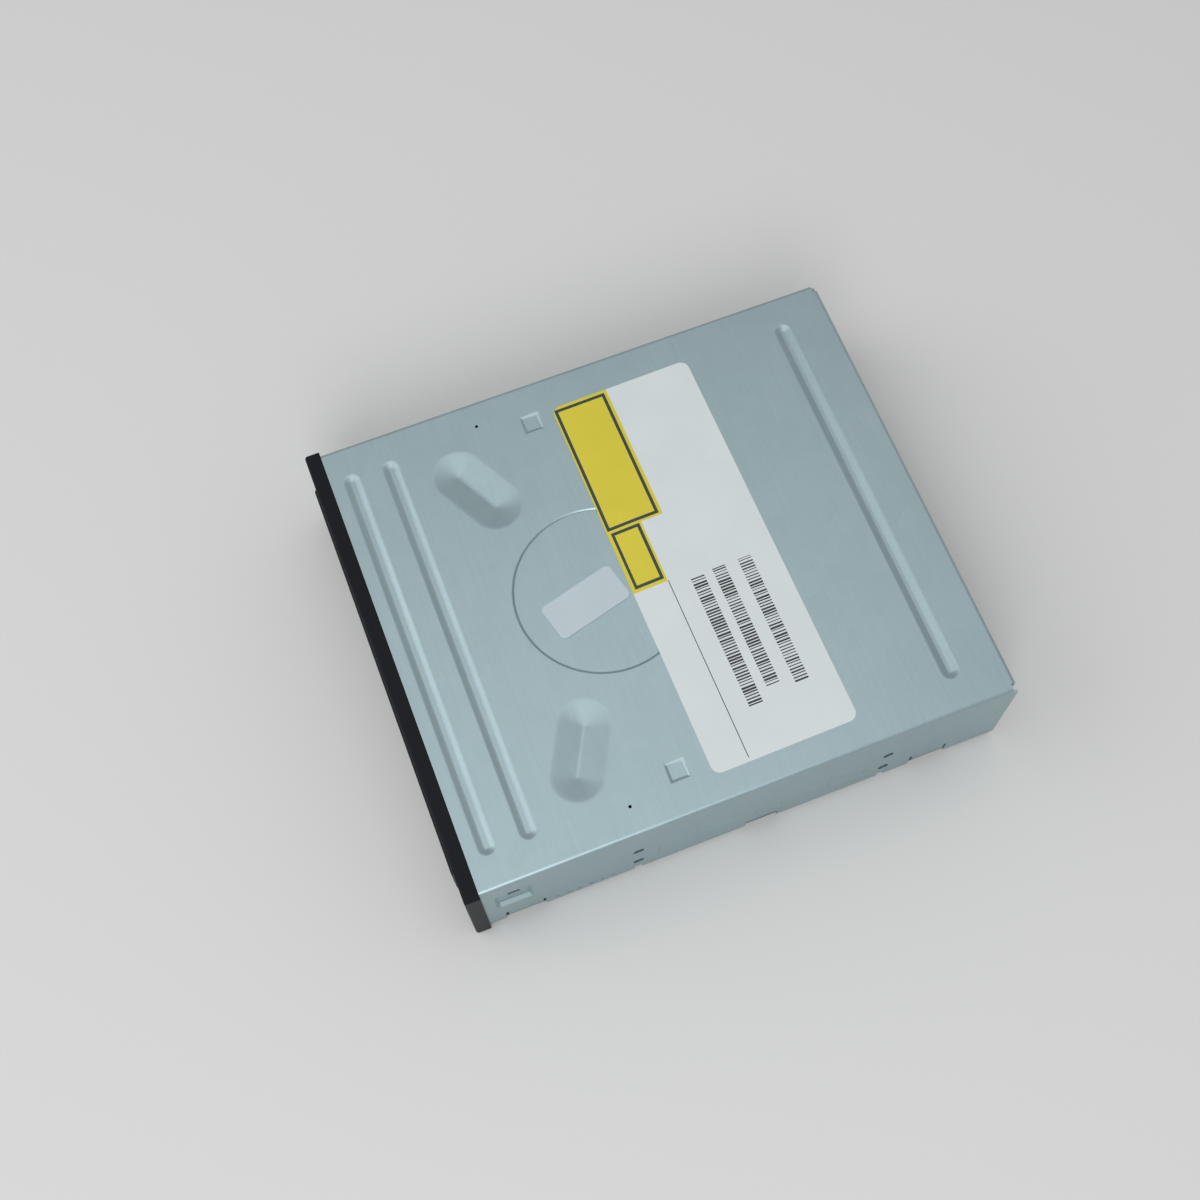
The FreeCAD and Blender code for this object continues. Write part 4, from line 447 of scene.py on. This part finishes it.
def pressForm(look, middle, turn=0, side=0):
    # an outline with rounded corners, sunk ring by ring: its profile is (distance in, depth) in mm;
    # it lies on the top, or for side 1 or -1 on that side wall with middle as (y, z)
    bpy.ops.mesh.primitive_plane_add(size=1)
    form = bpy.context.object
    form.scale = (look["size"][0] / 1000, look["size"][1] / 1000, 1)
    fixPlace()
    startEdit()
    if "roundness" in look:
        bpy.ops.mesh.bevel(offset=look["roundness"] / 1000, affect="VERTICES",
                           segments=look["corners"])
        mergeCorners(0.02)  # where two rounded corners meet
        bpy.ops.mesh.select_all(action="SELECT")
    went = (0, 0)
    for step in look["profile"]:
        bpy.ops.mesh.inset(thickness=(step[0] - went[0]) / 1000, depth=-(step[1] - went[1]) / 1000)
        went = step
    endEdit()
    if side:
        axes = Matrix(((0, 0, side), (side, 0, 0), (0, 1, 0)))
        wall = mm(side * drive["halfWidth"], *middle)
        form.matrix_world = Matrix.Translation(wall) @ axes.to_4x4()
    else:
        form.rotation_euler.z = math.radians(turn)
        form.location = mm(*middle, drive["top"])
    fixPlace()
    return form


# screws and thread

def roundEnds(node, leastCorners=12):
    # middle and direction of each flat round face on the node
    piece = copyNode(node, "probe")
    startEdit()
    makeFacesWhole({"NORMAL"})
    mesh = bmesh.from_edit_mesh(piece.data)
    ends = [(face.calc_center_median().copy(), face.normal.copy())
            for face in mesh.faces if len(face.verts) > leastCorners]
    endEdit()
    bpy.data.objects.remove(piece)
    return ends


# mm: width of an arm, span of the cross, its depth, and its size at the bottom against the top
crossRecess = {"bridge_screws": {"facing": 1, "arm": 0.75, "span": 3.2, "deep": 0.9, "taper": 0.5},
               "damper_screws": {"facing": 1, "arm": 0.8, "span": 3.7, "deep": 0.7, "taper": 0.5},
               "cover_screws": {"facing": -1, "arm": 0.5, "span": 2.3, "deep": 0.5, "taper": 0.5}}


def makeCrosses(node):
    # tapered crosses that stand in the screw heads, to be cut out of them
    look = crossRecess[node]
    crosses = []
    for middle, facing in roundEnds(node):
        if facing.z * look["facing"] < 0.9:
            continue
        bpy.ops.mesh.primitive_cube_add(size=1)
        cross = bpy.context.object
        # half of the cube stands out of the head
        cross.scale = (look["arm"] / 1000, look["arm"] / 1000, 2 * look["deep"] / 1000)
        fixPlace()
        startEdit()
        pick(cross, faces=lambda at, normal: abs(normal.z) < 0.5)
        bpy.ops.mesh.extrude_faces_move(
            TRANSFORM_OT_shrink_fatten={"value": (look["span"] - look["arm"]) / 2000})
        pick(cross, faces=lambda at, normal: normal.z < -0.5)
        bpy.ops.transform.resize(value=(look["taper"], look["taper"], 1),
                                 center_override=(0, 0, -look["deep"] / 1000))
        bpy.ops.mesh.select_all(action="SELECT")
        bpy.ops.mesh.normals_make_consistent(inside=False)
        endEdit()
        upright = facing.to_track_quat("Z", "Y").to_matrix().to_4x4()
        cross.matrix_world = Matrix.Translation(middle) @ upright
        crosses.append(cross)
    cutter = joined(*crosses)
    fixPlace()
    return cutter


# mm: radii and lead, then the turn's outline along the rod (root, flank, eased corner, crest),
# then the journals' length, how far the core lies inside the thread, and the journals' edge
leadThread = {"crest": 1.5, "root": 1.14, "lead": 3.0, "rootLength": 0.9, "flank": 0.45,
              "easeIn": 0.03, "ease": 0.1, "crestLength": 1.0,
              "journal": 4.4, "core": 0.02, "coreEnd": 0.2, "edge": 0.15, "corners": 40}


def makeLeadScrew():
    # a rolled thread, 3 mm a turn, between two plain journals
    look = leadThread
    low, high = sorted((end[0] for end in roundEnds("lead_screw")), key=lambda middle: middle.y)
    length = (high - low).length * 1000
    rise = look["crest"] - look["easeIn"] - look["root"]
    outline = ((0, look["rootLength"]), (rise, look["flank"]), (look["easeIn"], look["ease"]),
               (0, look["crestLength"]), (-look["easeIn"], look["ease"]), (-rise, look["flank"]))
    bpy.ops.mesh.primitive_plane_add(size=0.0001)
    thread = bpy.context.object
    startEdit()
    bpy.ops.mesh.merge(type="CENTER")
    bpy.ops.transform.translate(value=(look["root"] / 1000, 0, 0))
    for out, up in outline:
        step = (out / 1000, 0, up / 1000)
        bpy.ops.mesh.extrude_region_move(TRANSFORM_OT_translate={"value": step})
    endEdit()
    turns = math.ceil((length + look["lead"] - 2 * look["journal"]) / look["lead"])
    shapeBy(thread, "winding", "SCREW", {
        "axis": "Z", "screw_offset": look["lead"] / 1000, "iterations": turns,
        "steps": look["corners"], "render_steps": look["corners"]})
    startEdit()
    mergeCorners(0.002)
    endEdit()
    thread.location.z = (length - (turns + 1) * look["lead"]) / 2000
    pieces = [thread]
    # the core inside the thread, then the two journals, which hide the thread's open ends
    rods = ((look["root"] - look["core"], look["coreEnd"], length - look["coreEnd"]),
            (look["crest"], 0, look["journal"]),
            (look["crest"], length - look["journal"], length))
    for reach, start, end in rods:
        bpy.ops.mesh.primitive_cylinder_add(
            vertices=look["corners"], radius=reach / 1000, depth=(end - start) / 1000,
            location=(0, 0, (start + end) / 2000))
        rod = bpy.context.object
        shapeBy(rod, "edge", "BEVEL", {"width": look["edge"] / 1000, "segments": 2})
        pieces.append(rod)
    screw = joined(*pieces)
    screw.name = "leadScrewThread"
    fixPlace()
    startEdit()
    bpy.ops.mesh.normals_make_consistent(inside=False)
    endEdit()
    bpy.ops.object.shade_smooth_by_angle(angle=math.radians(35))
    along = (high - low).to_track_quat("Z", "X").to_matrix().to_4x4()
    screw.matrix_world = Matrix.Translation(low) @ along
    settle(screw, bodyOf["lead_screw"], finishes[slotOf["lead_screw"]])
    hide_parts("lead_screw")
    print("lead screw wound:", turns, "turns,", len(screw.data.polygons), "faces")


# eased edges

# mm by which each edge is eased: more on what is moulded, less on cut sheet and screw heads
easing = {"front_bezel": 0.2, "tray_front": 0.2, "eject_button": 0.2, "light_pipe": 0.1,
          "main_frame": 0.15, "disc_tray": 0.2, "lift_frame": 0.2, "cam_slider": 0.15,
          "traverse_plate": 0.08, "rod_holders": 0.15, "pickup_body": 0.2, "lens_cover": 0.1,
          "screw_follower": 0.12, "turntable": 0.1, "clamp_bridge": 0.1, "clamper": 0.15,
          "main_board": 0.05, "board_chips": 0.06, "ribbon_socket": 0.1, "tact_switch": 0.1,
          "data_connector": 0.12, "power_connector": 0.15, "jumper_block": 0.08,
          "jumper_cap": 0.12, "analogue_connector": 0.1, "digital_connector": 0.1,
          "tray_gear": 0.08, "pulley_gear": 0.08, "motor_pulley": 0.08, "sled_motor": 0.15,
          "loading_motor": 0.25, "capacitors": 0.2, "bottom_cover": 0.02, "screw_bracket": 0.08,
          "bridge_screws": 0.07, "damper_screws": 0.07, "cover_screws": 0.04}
# x in mm of planes that part a face with several openings, so that none is left with a hole in it
faceCuts = {"front_bezel": (12, 33, 52),
            "bottom_cover": (-69.85, -62.5, -31, 0, 31, 62.5, 69.85)}
# pieces whose faces with a hole in them are parted into triangles instead
partedFaces = ("capacitors", "eject_button", "light_pipe", "ribbon_socket", "loading_motor")
# pieces with ribs so thin that the easing stops where two edges would meet
thinRibs = ("lift_frame",)
# mm by which an underside is moved up, so that it clears the deck that it touches when raised
standOff = {"lift_frame": 0.02}


def easeEdges(node, width, sharp=35):
    # the node's flat faces are made whole, and each sharp edge is eased as a mould or die leaves it
    piece = copyNode(node, node + "Eased")
    startEdit()
    for x in faceCuts.get(node, ()):
        bpy.ops.mesh.select_all(action="SELECT")
        bpy.ops.mesh.bisect(plane_co=mm(x, 0, 0), plane_no=(1, 0, 0))
        bpy.ops.mesh.mark_seam()
    makeFacesWhole({"NORMAL", "SEAM"})
    if node in partedFaces:
        bpy.ops.mesh.quads_convert_to_tris(quad_method="BEAUTY", ngon_method="BEAUTY")
    endEdit()
    if node in crossRecess:
        cutter = makeCrosses(node)
        shapeBy(piece, "recess", "BOOLEAN", {"object": cutter})
        bpy.data.objects.remove(cutter)
    bpy.ops.object.shade_smooth_by_angle(angle=math.radians(sharp))
    shapeBy(piece, "edge", "BEVEL", {
        "width": width / 1000, "segments": 2, "limit_method": "ANGLE",
        "angle_limit": math.radians(sharp), "use_clamp_overlap": node in thinRibs,
        "miter_outer": "MITER_ARC", "harden_normals": True})
    if node in standOff:
        startEdit()
        pick(piece, faces=lambda at, normal: normal.z < -0.99)
        bpy.ops.transform.translate(value=(0, 0, standOff[node] / 1000))
        endEdit()
    settle(piece, bodyOf[node], finishes[slotOf[node]])
    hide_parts(node)


for node, width in easing.items():
    easeEdges(node, width)
print("edges eased:", len(easing))
makeLeadScrew()


# pressed cover

# mm: sizes, places and profiles, each profile as (distance in from the outline, depth)
frameMark = {"roundness": 0.8, "corners": 3,
             "profile": [(0.1, 0), (0.25, 0.13), (0.42, 0.2), (0.59, 0.13), (0.74, 0)]}
strokeMark = {"roundness": 0.4, "corners": 3, "profile": [(0.1, 0), (0.25, 0.14), (0.4, 0.2)]}
cover = {
    "ribs": {"rows": (6.5, 18.9, 148.9), "size": (126.8, 5.8), "roundness": 2.9, "corners": 8,
             "profile": [(0.15, 0), (0.4, 0.04), (0.7, 0.15), (1.1, 0.32), (1.5, 0.49),
                         (1.9, 0.64), (2.2, 0.73), (2.5, 0.77)]},
    "dimples": {"x": 44, "y": 41, "turn": 28, "size": (32, 17), "roundness": 8.5, "corners": 16,
                "profile": [(0.2, 0), (0.6, 0.02), (1.1, 0.10), (1.8, 0.24), (2.8, 0.46),
                            (4.0, 0.72), (5.2, 0.98), (6.4, 1.24), (7.4, 1.46), (8.0, 1.58),
                            (8.2, 1.60)]},
    "pads": {"x": 59.5, "y": 64.3, "size": (6.8, 6.8),
             "profile": [(0.2, 0), (0.4, 0.04), (0.65, 0.16), (0.95, 0.35), (1.15, 0.46),
                         (1.35, 0.5)]},
    "circle": {"y": 64.3, "size": (53.4, 53.4), "roundness": 26.7, "corners": 24,
               "profile": [(0.10, 0), (0.22, 0.04), (0.50, 0.20), (0.60, 0.34), (0.66, 0.48),
                           (0.76, 0.52), (0.86, 0.38)]},
    "pinHoles": {"x": 64.5, "y": 48, "radius": 0.5, "corners": 12},
    # on each side wall, with the middle of each as (y, z)
    "sideMarks": [
        (frameMark, (13, 11), (60, 16)), (frameMark, (12.5, 11), (113.75, 16)),
        (strokeMark, (12, 0.9), (73, 16)), (strokeMark, (12, 0.9), (101, 16)),
        (strokeMark, (0.9, 3.2), (85, 14)), (strokeMark, (0.9, 3.2), (93, 14))],
    # where the flat sheet ends, in the row's own mm
    "flat": {"side": 71.59, "low": 38.2, "front": -80.34, "rear": 83.44, "rearFold": 80},
    # x past which a face is a side wall's outer skin, the angle up to which bends look smooth,
    # and how far the large faces rule the shading
    "wall": 72.99, "smooth": 32, "weight": 80}


def onFlatSheet(at, up):
    # the top's two skins with their plain pressings, but not the folds round them
    flat = cover["flat"]
    inside = abs(at.x) < flat["side"] and at.z > flat["low"] and at.y > flat["front"]
    below = up.z < -0.999
    above = up.z > -0.999 and at.y < flat["rear"] and not (at.y > flat["rearFold"] and up.z < 0.99)
    return inside and (above or below)


def fillOutline(shell, onPlane):
    # the open edges on one plane, with the pressings' rims among them, are filled as one sheet
    pick(shell, edges=lambda edge, ends: edge.is_boundary and all(onPlane(end) for end in ends))
    bpy.ops.mesh.fill(use_beauty=True)


def makeTopSkin():
    ribs, dimples, pads, circle = (cover[part] for part in ("ribs", "dimples", "pads", "circle"))
    forms = [pressForm(ribs, (0, y)) for y in ribs["rows"]]
    for side in (-1, 1):
        forms.append(pressForm(dimples, (side * dimples["x"], dimples["y"]),
                               turn=-side * dimples["turn"]))
        forms.append(pressForm(pads, (side * pads["x"], pads["y"])))
    forms.append(pressForm(circle, (0, circle["y"])))
    return joined(*forms)


def makePinHoles():
    look = cover["pinHoles"]
    middle = drive["top"] - drive["sheet"] / 2
    holes = []
    for side in (-1, 1):
        bpy.ops.mesh.primitive_cylinder_add(
            vertices=look["corners"], radius=look["radius"] / 1000, depth=drive["sheet"] / 1000,
            end_fill_type="NOTHING", location=mm(side * look["x"], look["y"], middle))
        holes.append(bpy.context.object)
    only(*holes)
    fixPlace()
    return holes


def makeCover():
    shell = copyNode("top_cover", "pressedCover")
    skin = makeTopSkin()
    under = copyPiece(skin, "underSkin")
    startEdit()
    bpy.ops.transform.translate(value=(0, 0, -drive["sheet"] / 1000))
    endEdit()
    holes = makePinHoles()
    # the flat sheet and its plain pressings go, the folds and sides stay
    only(shell)
    startEdit()
    pick(shell, faces=onFlatSheet)
    bpy.ops.mesh.delete(type="FACE")
    endEdit()
    joined(shell, skin, under, *holes)
    startEdit()
    bpy.ops.mesh.delete_loose()
    for level in (drive["top"], drive["top"] - drive["sheet"]):
        fillOutline(shell, lambda end: abs(end.z - level) < 0.01)
    mergeCorners()
    # each side wall is filled again round its openings, with the shallow lines pressed into it
    for side in (-1, 1):
        pick(shell, faces=lambda at, out: side * at.x > cover["wall"] and side * out.x > 0.999)
        bpy.ops.mesh.delete(type="FACE")
        endEdit()
        marks = [pressForm({**mark, "size": size}, middle, side=side)
                 for mark, size, middle in cover["sideMarks"]]
        joined(shell, *marks)
        startEdit()
        fillOutline(shell, lambda end: side * end.x > cover["wall"])
    mergeCorners()
    bpy.ops.mesh.normals_make_consistent(inside=False)
    endEdit()
    only(shell)
    bpy.ops.object.shade_smooth_by_angle(angle=math.radians(cover["smooth"]))
    shapeBy(shell, "even", "WEIGHTED_NORMAL", {"keep_sharp": True, "weight": cover["weight"]})
    settle(shell, "case", finishes["case_steel"])
    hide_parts("top_cover")


makeCover()
print("cover pressed")


# rating label

# mm; the printed fields are x0 y0 x1 y1 from the label's middle, later ones over earlier ones
label = {
    "centre": (1.25, 95.0), "size": (126.5, 45.0), "turn": 0.9, "top": 41.42, "thick": 0.12,
    "corner": 2.8, "cornerSteps": 6, "frameLine": 1.0,
    "yellow": ((-63.3, -22.6, -17.5, -4.4), (-17.5, -22.6, 3.3, -11.4)),
    "frames": ((-62.3, -22.0, -18.2, -5.4), (-17.3, -21.4, 2.2, -12.2)),
    "rule": (3.3, -11.5, 62.0, -11.25),
    "bars": ((4.9, 10.2, 46.7, 14.4), (5.0, 2.0, 45.0, 6.1), (5.2, -5.1, 48.5, -0.8)),
    # over the sunk circle the film's front edge lies down on the sheet and rises again to the rear
    "sag": {"x": -1.73, "y": -30.7, "reach": 26.2, "ramp": 3, "edge": -22.5, "fade": 11,
            "depth": 0.37, "cutsX": range(-27, 27, 3), "cutsY": (-20.5, -18, -15.5, -13)}}
inks = [finishes["label_paper"],
        # inks printed flat on the film: mustard yellow, green near to black, black bars on white
        printedFilm("yellowInk", {"dark": "#C8BA2C", "light": "#D2C534", "rough": 0.42}),
        printedFilm("darkInk", {"dark": "#24342D", "light": "#2C3D36", "rough": 0.42}),
        barInk("barInk", {"dark": "#CDD5D7", "light": "#23272A", "bar": 0.92, "strip": 7.6,
                          "least": 0.28, "spread": 0.45, "turn": label["turn"],
                          "middle": mm(*label["centre"], 0)})]
inkSlots = {"yellow": 1, "dark": 2, "bars": 3}


def sagAt(x, y):
    # how far the film lies down at a place on it: a smooth step in the circle, fading to the rear
    sag = label["sag"]
    inside = min(max((sag["reach"] - math.hypot(x - sag["x"], y - sag["y"])) / sag["ramp"], 0), 1)
    ahead = min(max(1 - (y - sag["edge"]) / sag["fade"], 0), 1)
    return sag["depth"] * (inside * ahead) ** 2 * (3 - 2 * inside * ahead)


def makeRatingLabel():
    line = label["frameLine"]
    fields = [("yellow", *field) for field in label["yellow"]]
    for x0, y0, x1, y1 in label["frames"]:
        fields += [("dark", x0, y0, x1, y1), ("yellow", x0 + line, y0 + line, x1 - line, y1 - line)]
    fields += [("dark", *label["rule"])] + [("bars", *field) for field in label["bars"]]
    bpy.ops.mesh.primitive_plane_add(size=1)
    piece = bpy.context.object
    piece.name = "labelPrint"
    piece.scale = (label["size"][0] / 1000, label["size"][1] / 1000, 1)
    fixPlace()
    for ink in inks:
        piece.data.materials.append(ink)
    startEdit()
    bpy.ops.mesh.bevel(offset=label["corner"] / 1000, affect="VERTICES",
                       segments=label["cornerSteps"])
    cutsX = set(label["sag"]["cutsX"]).union(*((field[1], field[3]) for field in fields))
    cutsY = set(label["sag"]["cutsY"]).union(*((field[2], field[4]) for field in fields))
    for normal, cuts in (((1, 0, 0), cutsX), ((0, 1, 0), cutsY)):
        for cut in sorted(cuts):
            bpy.ops.mesh.select_all(action="SELECT")
            bpy.ops.mesh.bisect(plane_co=[part * cut / 1000 for part in normal], plane_no=normal)
    endEdit()
    for face in piece.data.polygons:
        for kind, x0, y0, x1, y1 in fields:
            if x0 < face.center.x * 1000 < x1 and y0 < face.center.y * 1000 < y1:
                face.material_index = inkSlots[kind]
    for corner in piece.data.vertices:
        corner.co.z = -sagAt(corner.co.x * 1000, corner.co.y * 1000) / 1000
    shapeBy(piece, "film", "SOLIDIFY", {"thickness": label["thick"] / 1000, "offset": -1})
    piece.rotation_euler.z = math.radians(label["turn"])
    piece.location = mm(*label["centre"], label["top"])
    settle(piece, "case")
    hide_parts("rating_label")


makeRatingLabel()
print("label made")


# floor, light, camera; in metres

stage = {"floor": "#D2D3D2", "floorSize": 6, "world": "#FFFFFF", "worldStrength": 0.52,
         "drop": 0.0002,  # a hair below the feet, so that the two faces do not lie in one plane
         "aim": (0, 0, 0.02),
         "lamps": {"keyLamp": {"at": (0.90, -0.38, 1.0), "size": 0.7, "power": 7.0},
                   "frontLamp": {"at": (-0.35, -1.15, 0.85), "size": 1.0, "power": 4.2},
                   "topLamp": {"at": (-0.10, -0.01, 1.4), "size": 1.1, "power": 2.8}}}
# place and directions solved from the drive's own corners in the photograph
view = {"place": mm(178.38, 3.49, 502.14), "lens": 50.55, "sensor": 36, "nearest": 0.01,
        "right": (0.35983801, 0.93285782, -0.01711397),
        "up": (-0.86366903, 0.33997658, 0.37214476),
        "back": (0.3529765, -0.11913102, 0.92801691)}


def setStage():
    bpy.ops.mesh.primitive_plane_add(size=stage["floorSize"])
    floor = bpy.context.object
    floor.name = "floor"
    floor.location.z = -stage["drop"]
    # painted board, rolled: pale and quite matt
    finish = newFinish("paleFloor", {"Base Color": linear(stage["floor"]), "Roughness": 0.9})[0]
    floor.data.materials.append(finish)
    world = bpy.data.worlds.new("studio")
    bpy.context.scene.world = world
    world.use_nodes = True
    back = world.node_tree.nodes["Background"]
    back.inputs["Color"].default_value = linear(stage["world"])
    back.inputs["Strength"].default_value = stage["worldStrength"]
    for name, look in stage["lamps"].items():
        bpy.ops.object.light_add(type="AREA", location=look["at"])
        lamp = bpy.context.object
        lamp.name = name
        lamp.data.size = look["size"]
        lamp.data.energy = look["power"]
        beam = Vector(stage["aim"]) - Vector(look["at"])
        lamp.rotation_euler = beam.to_track_quat("-Z", "Y").to_euler()


def setCamera():
    bpy.ops.object.camera_add()
    camera = bpy.context.object
    camera.data.sensor_width = view["sensor"]
    camera.data.lens = view["lens"]
    camera.data.clip_start = view["nearest"]
    turn = Matrix((view["right"], view["up"], view["back"])).transposed()
    camera.matrix_world = Matrix.Translation(view["place"]) @ turn.to_4x4()
    bpy.context.scene.camera = camera


setStage()
setCamera()
bpy.context.scene.view_settings.view_transform = "Standard"
print("stage, lamps and camera set")
